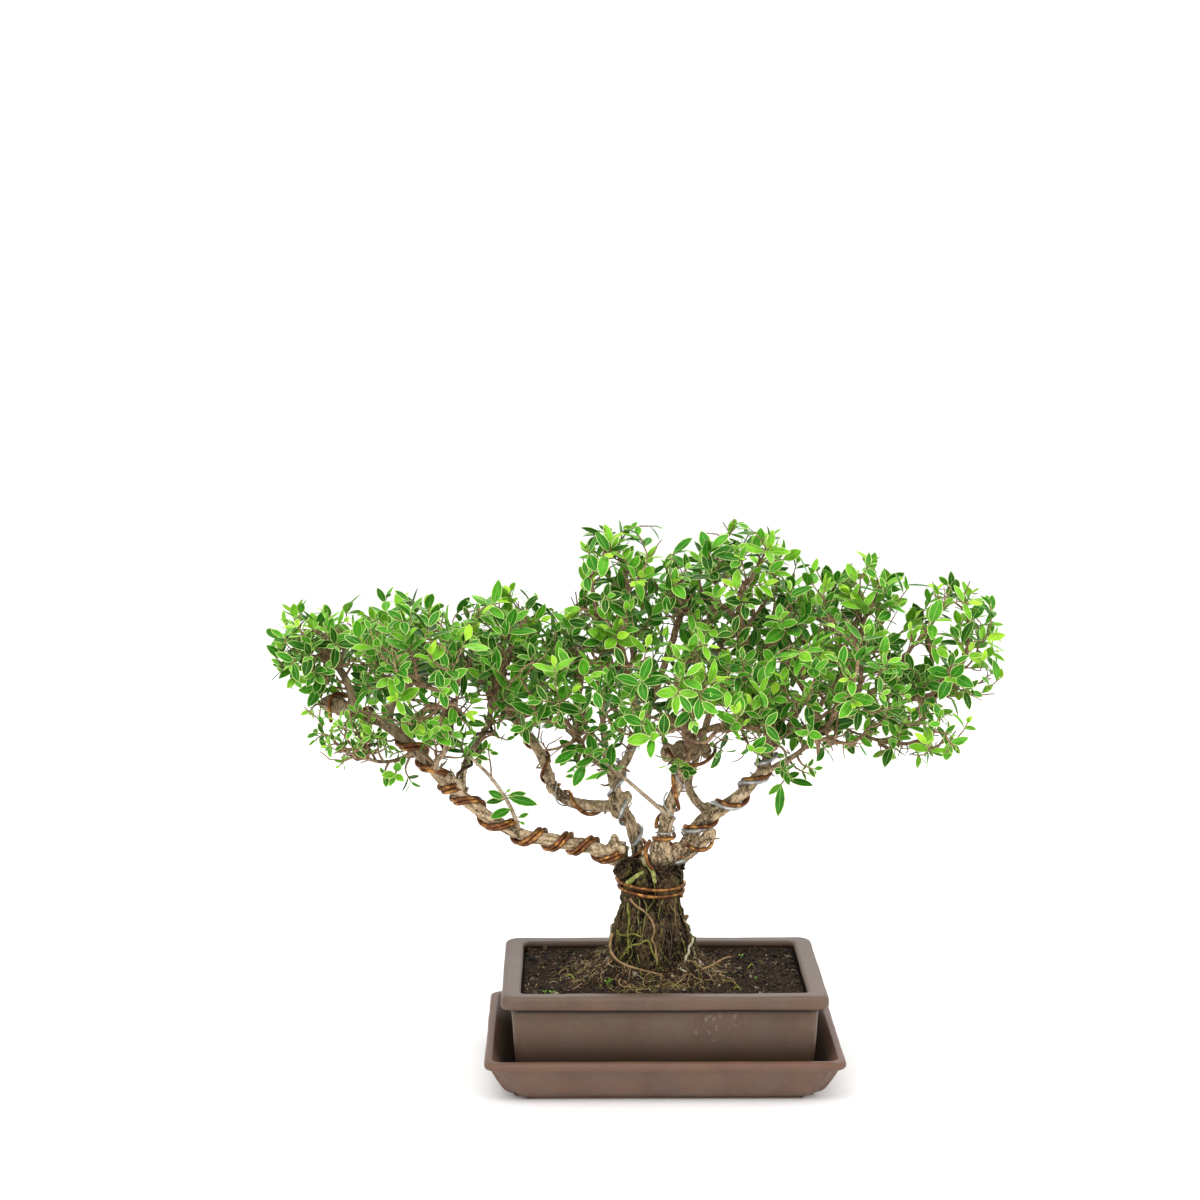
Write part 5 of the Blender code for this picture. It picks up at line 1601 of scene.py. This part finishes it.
def owns(index, point, spare):
    """Whether a point is inside a mass's space and nearer to it than to any other."""
    scaled = norm((point - SPACE_MIDDLES) / SPACE_RADII, axis=1)
    levels = (scaled - 1) * SPACE_RADII.mean(axis=1)
    own = levels[index]
    levels[index] = 1e9
    return own < spare and own < levels.min() + spare


def in_gap(point):
    """Whether a point would close one of the openings where the sky shows."""
    t = -EYE[1] / (point[1] - EYE[1])
    seen = EYE + (point - EYE) * t
    return any(((seen[0] - x) / rx) ** 2 + ((seen[2] - z) / rz) ** 2 < 1 for (x, z), (rx, rz) in GAPS)


def in_box(point, spare=0.5):
    """Whether a point lies within the box of the whole plant."""
    low, high = (np.array(corner) / MM for corner in CAD_BOX)
    return bool(np.all(point > low - spare) and np.all(point < high + spare))


class Network:
    """Twigs that branch from one stem: points, each with its parent, and the tips."""

    def __init__(self, start, lead, radius):
        self.points, self.parents, self.trail, self.leads, self.open = [], [], [], [], []
        self.tips = []
        self.root_radius = radius
        self.add(np.array(start, float), -1, 0.0, np.array(lead, float), True)

    def add(self, *values):
        """A point with its parent, its way from the stem, its direction and whether it may fork."""
        columns = (self.points, self.parents, self.trail, self.leads, self.open)
        for column, value in zip(columns, values):
            column.append(value)

    def extend(self, index, target, rng, leafy=True, wobble=0.09):
        """A slightly crooked twig from a point of the network to a target."""
        start = self.points[index]
        away = target - start
        distance = norm(away)
        count = max(2, round(distance / TWIG_STEP))
        lead = self.leads[index]
        knee = start + lead * distance * 0.28 + away * 0.22 + np.array((0, 0, -0.05)) * distance
        side = rng.normal(0, 1, 3) * distance * wobble
        parent = index
        for i in range(1, count + 1):
            t = i / count
            point = start * (1 - t) ** 2 + knee * 2 * t * (1 - t) + target * t ** 2
            point = point + side * sin(pi * t) + rng.normal(0, 0.35, 3) * (t < 1)
            step = point - self.points[parent]
            length = norm(step)
            self.add(point, parent, self.trail[parent] + length, step / max(length, 1e-6), t < 0.72)
            parent = len(self.points) - 1
        if leafy:
            self.tips.append(parent)
        return parent

    def reach(self, target):
        """The point of the network that costs least to grow on from to a target."""
        points = np.array(self.points)
        gaps = norm(points - target, axis=1)
        cost = gaps + 0.4 * np.array(self.trail)
        cost[~np.array(self.open)] = 1e9
        return int(np.argmin(cost)), gaps

    def radii(self):
        """Thickness of every point, so that a twig is as strong as the twigs it carries."""
        total = np.zeros(len(self.points))
        for i in range(len(self.points) - 1, -1, -1):
            if total[i] == 0:
                total[i] = TIP_RADIUS ** TWIG_POWER
            if self.parents[i] >= 0:
                total[self.parents[i]] += total[i]
        radii = total ** (1 / TWIG_POWER)
        blend = unit(1 - np.array(self.trail) / 26.0)
        radii = np.minimum(radii, self.root_radius)
        return radii + (self.root_radius - radii) * blend

    def chains(self):
        """Runs of points from each fork to a tip, the thickest carrying straight on."""
        radii = self.radii()
        children = [[] for _ in self.points]
        for i, parent in enumerate(self.parents):
            if parent >= 0:
                children[parent].append(i)
        starts = [0]
        while starts:
            i = starts.pop()
            run = [i] if self.parents[i] < 0 else [self.parents[i], i]
            widths = [radii[i]] * len(run)
            while children[i]:
                heavy = max(children[i], key=lambda c: radii[c])
                starts += [c for c in children[i] if c != heavy]
                run.append(heavy)
                widths.append(radii[heavy])
                i = heavy
            widths[-1] *= 0.8
            yield [self.points[k] for k in run], widths


class Leaves:
    """Places and shapes of all the leaves of one group of masses."""

    def __init__(self):
        self.rows = []

    def add(self, root, heading, face, length, width, bend, fold, twist, kind):
        self.rows.append((*root, *heading, *face, length, width, bend, fold, twist, kind))

    def build(self, name, finishes, margin):
        """Every leaf as an opaque blade with its pale margin and midrib."""
        rows = np.array(self.rows)
        root, heading, face = rows[:, 0:3], rows[:, 3:6], rows[:, 6:9]
        length, width, bend, fold, twist, kind = rows[:, 9:].T
        heading = heading / norm(heading, axis=1, keepdims=True)
        across = np.cross(heading, face)
        across /= norm(across, axis=1, keepdims=True)
        face = np.cross(across, heading)
        half = width[:, None] / 2

        def each(values):
            return values[:, None, None]

        outline = LEAF_OUTLINE * half
        blade = np.maximum(outline - margin, LEAF_RIB * half + 0.02 * (LEAF_STATIONS < 1))
        blade[:, -1] = 0.0
        rib = LEAF_RIB * half
        v = np.stack((-outline, -blade, -rib, rib, blade, outline), axis=2)
        s = np.broadcast_to(LEAF_STATIONS[None, :, None], v.shape) * each(length)
        s[:, -1, 1:5] -= margin * 1.1
        s[:, -1, 2:4] -= margin * 0.5
        u = s / each(length)
        w = each(fold) * np.abs(v) - each(bend) * each(length) * u ** 2
        w -= 0.12 * (np.abs(v) / half[:, :, None]) ** 3 * half[:, :, None]
        turn = each(twist) * u
        v, w = v * np.cos(turn) - w * np.sin(turn), v * np.sin(turn) + w * np.cos(turn)
        points = (root[:, None, None, :] + heading[:, None, None, :] * s[..., None]
                  + across[:, None, None, :] * v[..., None] + face[:, None, None, :] * w[..., None])
        stations = len(LEAF_STATIONS)
        faces = grid_faces(stations, 6, closed=False)
        columns = np.tile(np.arange(5), stations - 1)
        per_leaf = stations * 6
        all_faces = (faces[None] + per_leaf * np.arange(len(rows))[:, None, None]).reshape(-1, 4)
        part = np.array((1, 0, 2, 0, 1))[columns]
        slots = (kind.astype(int)[:, None] * 3 + part[None]).ravel()
        heap = Heap()
        heap.add(points.reshape(-1, 3), all_faces, slots)
        return heap.build(name, finishes)


KINDS = ("deep", "mature", "light", "bright", "young")
YOUNG_MARGIN = (0.5, 0.72, 0.12)
RIB_TINT = (0.36, 0.62, 0.12)


class Foliage:
    """Grows every mass by the same rule and keeps leaves apart."""

    def __init__(self, look):
        self.look = look
        self.length = look.leaf_length / MM
        self.width = look.leaf_width / MM
        self.taken = {}
        limbs = LIMB_OF.values()
        self.wood = np.array([tuple(p) for limb in limbs for p in limb.points])
        self.girth = np.array([limb.radius(d) for limb in limbs for d in limb.along])

    def free(self, middle, tip):
        """Whether a leaf would lie clear of the boughs and of the leaves before it."""
        for spot in (middle, tip):
            if (norm(self.wood - spot, axis=1) - self.girth).min() < WOOD_CLEAR:
                return False
        key = tuple((middle // LEAF_CLEAR).astype(int))
        for x, y, z in product((-1, 0, 1), repeat=3):
            for other in self.taken.get((key[0] + x, key[1] + y, key[2] + z), ()):
                if norm(other - middle) < LEAF_CLEAR:
                    return False
        self.taken.setdefault(key, []).append(middle)
        return True

    def spray(self, leaves, tip, lead, outward, rng, inside, pairs, tone, scale=1.0):
        """Opposite pairs along the end of a twig, each pair turned across the last."""
        side = np.cross(lead, (0.0, 0.0, 1.0))
        if norm(side) < 0.3:
            side = np.cross(lead, (1.0, 0.0, 0.0))
        side /= norm(side)
        turn = rng.uniform(-0.5, 0.5)
        side = side * cos(turn) + np.cross(lead, side) * sin(turn)
        fresh = rng.random() < FRESH_SHARE
        for pair in range(pairs):
            root = tip - lead * (PAIR_GAP * pair * rng.uniform(0.85, 1.15))
            size, spread, kind = PAIR_SIZES[pair], PAIR_SPREADS[pair], tone
            if pair == 0 and fresh:
                size, spread, kind = FRESH_SIZE, FRESH_SPREAD, min(4, tone + 2)
            elif pair == 0:
                kind = min(4, tone + 1)
            for sign in (1, -1):
                size_here = scale * size * rng.uniform(0.82, 1.14)
                length = self.length * size_here
                for attempt in range(TRIES):
                    wander = 0.16 + 0.1 * attempt
                    heading = lead * max(0.2, 1 - 0.24 * pair) + side * sign * spread
                    heading = heading + np.array((0, 0, 0.12)) + rng.normal(0, wander, 3)
                    heading /= norm(heading)
                    face = lead * 0.45 + outward * 0.75 + np.array((0, 0, 0.7)) + rng.normal(0, 0.28, 3)
                    if norm(np.cross(heading, face)) < 0.25:
                        continue
                    end = root + heading * length
                    if not inside(end) or in_gap(end):
                        continue
                    if not self.free(root + heading * length * 0.55, end):
                        continue
                    width = self.width * size_here * rng.uniform(0.86, 1.12)
                    bend, fold, twist = rng.uniform(0.02, 0.3), rng.uniform(0.08, 0.42), rng.normal(0, 0.22)
                    leaves.add(root, heading, face, length, width, bend, fold, twist, kind)
                    break
            side = np.cross(lead, side)

    def mass(self, index, leaves, twigs):
        """One mass: the stem from its bough's tip, its shoots, finer twigs and leaves."""
        name, on, centre, radii, shoots = (MASSES + FILLS)[index]
        rng = np.random.default_rng(1000 + index)
        centre, radii = np.array(centre, float), np.array(radii, float)
        limb = LIMB_OF[on]
        start, (lead, _, _) = limb.at(limb.length)
        start, lead = np.array(start), np.array(lead)
        heart = centre - np.array((0, 0, radii[2] * 0.3))
        net = Network(start - lead * 1.5, lead, limb.radius(limb.length) * 1.02)
        knee = start + lead * min(12.0, norm(heart - start) * 0.4)
        last = net.extend(0, knee, rng, leafy=False, wobble=0.0)
        net.open = [True] * len(net.open)
        net.extend(last, heart, rng, leafy=False, wobble=0.05)
        net.open = [True] * len(net.open)
        tips = [(self.target(centre, radii, i, shoots, rng, SHOOT_REACH), False) for i in range(shoots)]
        fine = shoots * self.look.twigs
        targets = [(self.target(centre, radii, i, fine, rng, TWIG_REACH), True) for i in range(fine)]
        for group in (tips, targets):
            for target, leafy in sorted(group, key=lambda row: norm(row[0] - heart)):
                if not owns(index, target, TWIG_SPARE) or in_gap(target) or not in_box(target):
                    continue
                low = (target[2] - centre[2]) / radii[2] < -0.35
                joined, gaps = net.reach(target)
                if gaps[joined] < SHORTEST_TWIG or gaps.min() < TWIG_CLEAR:
                    continue
                net.extend(joined, target, rng, leafy and not (low and rng.random() < LOW_BARE))
        for _ in range(shoots * BARE_TWIGS):
            spot = rng.integers(len(net.points) // 4, len(net.points))
            if net.open[spot]:
                away = rng.normal(0, 1, 3) + np.array((0, 0, 0.5))
                target = net.points[spot] + away / norm(away) * rng.uniform(5, 22)
                if in_box(target):
                    net.extend(spot, target, rng, leafy=False)
        for points, widths in net.chains():
            twigs.tube(points, widths, 6 if max(widths) > 1.2 else 4)

        def inside(point):
            return owns(index, point, LEAF_SPARE) and in_box(point)

        small = SMALL_LEAVED.get(name, 1.0)
        for tip in net.tips:
            point, lead = net.points[tip], net.leads[tip]
            outward = (point - centre) / radii
            outward = outward / max(norm(outward), 1e-6)
            # painted light and shade: leaves high in a mass lean to lighter tones, leaves low in it to
            # deeper ones
            high = point[2] > centre[2] + radii[2] * 0.2
            tone = rng.choice(4, p=HIGH_TONES if high else LOW_TONES)
            self.spray(leaves, point, lead, outward, rng, inside, rng.integers(2, 4), tone,
                       rng.uniform(0.74, 1.14) * small)
            back = tip
            for _ in range(4):
                back = net.parents[back]
                if back <= 0:
                    break
            if back > 0 and rng.random() < SECOND_SPRAY:
                self.spray(leaves, net.points[back], net.leads[back], outward, rng, inside, 1,
                           min(tone, 2), 0.75 * small)

    def target(self, centre, radii, i, count, rng, reach):
        """One of an even set of places within a mass, spread by the golden angle."""
        z = 1 - 2 * (i + 0.5) / count
        ring = sqrt(1 - z * z)
        angle = pi * (3 - sqrt(5)) * i + rng.uniform(-0.3, 0.3)
        out = rng.uniform(*reach) ** 0.8
        return centre + np.array((ring * cos(angle), ring * sin(angle), z)) * out * radii

    def sprig(self, row, leaves, twigs):
        """A thin side twig with its own few leaves."""
        name, shares = row[0], row[-1]
        sprig = SPRIG_OF[name]
        rng = np.random.default_rng(len(name) * 31)
        radii = [sprig.radius(d) for d in sprig.along]
        twigs.tube(sprig.points, radii, 7, 1)
        for share in shares:
            point, (lead, _, _) = sprig.at(sprig.length * share)
            outward = np.array((0.0, -0.6, 0.3))
            self.spray(leaves, np.array(point), np.array(lead), outward, rng, in_box, 3, 1)
        for root, end, width, kind in SPRIG_LEAVES[name]:
            root, end = np.array(root, float), np.array(end, float)
            stem = np.array(min(sprig.points, key=lambda spot: norm(np.array(spot) - root)))
            if norm(stem - root) < LONGEST_STALK:
                stalk = [stem, (stem + root) / 2 + (0, 0, 0.2), root * 0.88 + end * 0.12]
                twigs.tube(stalk, (0.5, 0.45, 0.4), 5)
            length = norm(end - root)
            face = np.array((0.0, -0.75, 0.6)) + rng.normal(0, 0.15, 3)
            heading = (end - root) / length
            leaves.add(root, heading, face, length, width, rng.uniform(0.02, 0.12), 0.2, 0.0, kind)

    def spurs(self, limb, leaves, twigs):
        """Thin spurs along a bough, bare where it is low and leafy higher up."""
        rng = np.random.default_rng(len(limb.name) * 17 + int(limb.length))
        for distance in np.arange(SPUR_GAP, limb.length, SPUR_GAP):
            point, (tangent, normal, binormal) = limb.at(distance + rng.uniform(-2, 2))
            turn = rng.uniform(0, 2 * pi)
            length = rng.uniform(8, 24)
            bend = rng.normal(0, 0.12, 3) * length
            tone = rng.integers(0, 3)
            if point.z < SPUR_LOW or rng.random() < 0.2:
                continue
            if point.z <= SPUR_LEAFY:
                length *= BARE_SPUR
            away = normal * cos(turn) + binormal * sin(turn) + tangent * 0.5 + UP * 0.15
            away = np.array(away.normalized())
            start = np.array(point) + away * limb.radius(distance) * 0.6
            line = curve_through([start, start + away * length * 0.5 + bend, start + away * length], 4.0)
            if not in_box(np.array(line[-1])):
                continue
            twigs.tube(line, np.linspace(1.1, 0.5, len(line)), 5)
            if point.z > SPUR_LEAFY:
                lead = np.array((line[-1] - line[-2]).normalized())
                scale = rng.uniform(0.45, 0.8)
                self.spray(leaves, np.array(line[-1]), lead, away, rng, in_box, 2, tone, scale)


GROUPS = (
    ("left", range(0, 6), (17,), ("sprig_left",), ("bough_left", "bough_mid")),
    ("centre", range(6, 12), (18, 19), ("sprig_centre",), ("bough_centre", "bough_back")),
    ("right", range(12, 17), (20,), ("sprig_right",), ("bough_right",)),
)


class BONSAI_OT_foliage(bpy.types.Operator):
    """Grow the twigs and leaves of the crown"""

    bl_idname = "bonsai.foliage"
    bl_label = "Twigs and leaves"

    def execute(self, context):
        look = context.scene.bonsai_foliage
        finishes = []
        for kind in KINDS:
            colour = getattr(look, kind)
            edge = look.margin if kind != "young" else YOUNG_MARGIN
            rib = tuple(0.45 * a + 0.55 * b for a, b in zip(colour, RIB_TINT))
            finishes += [
                leaf_green("leaf_" + kind, colour),
                plain_fibre("margin_" + kind, edge, shade(edge, 0.86), 0.5),
                plain_fibre("rib_" + kind, rib, shade(rib, 0.85), 0.45),
            ]
        barks = [twig_bark("twig_bark", *TWIG_TONES), twig_bark("sprig_bark", *SPRIG_TONES)]
        foliage = Foliage(look)
        for group, members, fills, sprigs, limbs in GROUPS:
            leaves = Leaves()
            twigs = Heap()
            for index in (*members, *fills):
                foliage.mass(index, leaves, twigs)
            for row in SPRIGS:
                if row[0] in sprigs:
                    foliage.sprig(row, leaves, twigs)
            for owner, points in TWIGLETS:
                if owner == group:
                    line = curve_through(points, 2.0)
                    twigs.tube(line, np.linspace(0.9, 0.5, len(line)), 5)
            for limb in LIMB_OF.values():
                if limb.name.startswith(limbs):
                    foliage.spurs(limb, leaves, twigs)
            made = leaves.build("leaves_" + group, finishes, look.margin_width / MM)
            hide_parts(*[MASSES[i][0] for i in members], *sprigs)
            made = twigs.build("twigs_" + group, barks)
        return {"FINISHED"}


# ======== stage
FLOOR_HALF = 40.0  # metres, as everything on the stage
# name, place, share of the key light's power, width
LAMPS = (
    ("key", (-1.0, -1.5, 2.2), 1.0, 1.4),
    ("fill", (1.6, -1.2, 1.3), 0.45, 1.2),
    ("back", (0.4, 1.8, 1.8), 0.5, 1.4),
)
LAMP_AIM = (0.0, 0.0, 0.22)
CAMERA_LENS = 92.03  # millimetres
CAMERA_PLACE = (-0.069553, -2.265962, 0.663678)
CAMERA_DIP = 7.668  # degrees below level
CAMERA_TURN = -0.578  # degrees about Z, to the right when negative


class BONSAI_OT_stage(bpy.types.Operator):
    """Lay the floor, hang the lights and set the camera"""

    bl_idname = "bonsai.stage"
    bl_label = "Stage"

    def execute(self, context):
        look = context.scene.bonsai_stage
        scene = context.scene
        corners = [(x * FLOOR_HALF, y * FLOOR_HALF, 0) for x, y in ((-1, -1), (1, -1), (1, 1), (-1, 1))]
        mesh = bpy.data.meshes.new("floor")
        mesh.from_pydata(corners, [], [(0, 1, 2, 3)])
        s = Surface("floor_paper", roughness=0.9, specular_ior_level=0.1)
        grain = s.noise(60.0, 2.0)
        mesh.materials.append(s.feed(base_color=s.mix(grain, look.floor, shade(look.floor, 1.02))))
        floor = bpy.data.objects.new("floor", mesh)
        scene.collection.objects.link(floor)
        world = bpy.data.worlds.new("studio")
        world.use_nodes = True
        light = world.node_tree.nodes["Background"].inputs
        light["Color"].default_value = (1.0, 1.0, 1.0, 1.0)
        light["Strength"].default_value = look.sky
        scene.world = world
        scene.view_settings.view_transform = "Standard"
        for name, spot, share, width in LAMPS:
            lamp = bpy.data.lights.new(name, "AREA")
            lamp.energy = look.key * share
            lamp.size = width
            item = bpy.data.objects.new(name, lamp)
            item.location = spot
            aim = Vector(LAMP_AIM) - item.location
            item.rotation_euler = aim.to_track_quat("-Z", "Y").to_euler()
            scene.collection.objects.link(item)
        camera = bpy.data.cameras.new("camera")
        camera.sensor_width = 36.0
        camera.lens = CAMERA_LENS
        camera.clip_start = 0.05
        camera.clip_end = 200.0
        item = bpy.data.objects.new("camera", camera)
        item.location = CAMERA_PLACE
        item.rotation_euler = (radians(90 - CAMERA_DIP), 0.0, radians(CAMERA_TURN))
        scene.collection.objects.link(item)
        scene.camera = item
        return {"FINISHED"}


# ======== panel and registration
STEPS = (BONSAI_OT_stage, BONSAI_OT_pot, BONSAI_OT_soil, BONSAI_OT_wood, BONSAI_OT_wires, BONSAI_OT_foliage)
SETTINGS = (("bonsai_pot", BonsaiPot), ("bonsai_wood", BonsaiWood), ("bonsai_foliage", BonsaiFoliage),
            ("bonsai_stage", BonsaiStage))


class BONSAI_PT_panel(bpy.types.Panel):
    """The steps that make the tree, in order"""

    bl_idname = "BONSAI_PT_panel"
    bl_label = "Serissa bonsai"
    bl_space_type = "VIEW_3D"
    bl_region_type = "UI"
    bl_category = "Bonsai"

    def draw(self, context):
        for name, group in SETTINGS:
            box = self.layout.box()
            for key in group.__annotations__:
                box.prop(getattr(context.scene, name), key)
        for step in STEPS:
            self.layout.operator(step.bl_idname)


CLASSES = (*(group for _, group in SETTINGS), *STEPS, BONSAI_PT_panel)


def register():
    for item in CLASSES:
        bpy.utils.register_class(item)
    for name, group in SETTINGS:
        setattr(bpy.types.Scene, name, bpy.props.PointerProperty(type=group))


def unregister():
    for name, _ in SETTINGS:
        delattr(bpy.types.Scene, name)
    for item in reversed(CLASSES):
        bpy.utils.unregister_class(item)


def main():
    """Make every piece in order."""
    register()
    for step in STEPS:
        group, name = step.bl_idname.split(".")
        getattr(getattr(bpy.ops, group), name)()


if __name__ == "__main__":
    main()
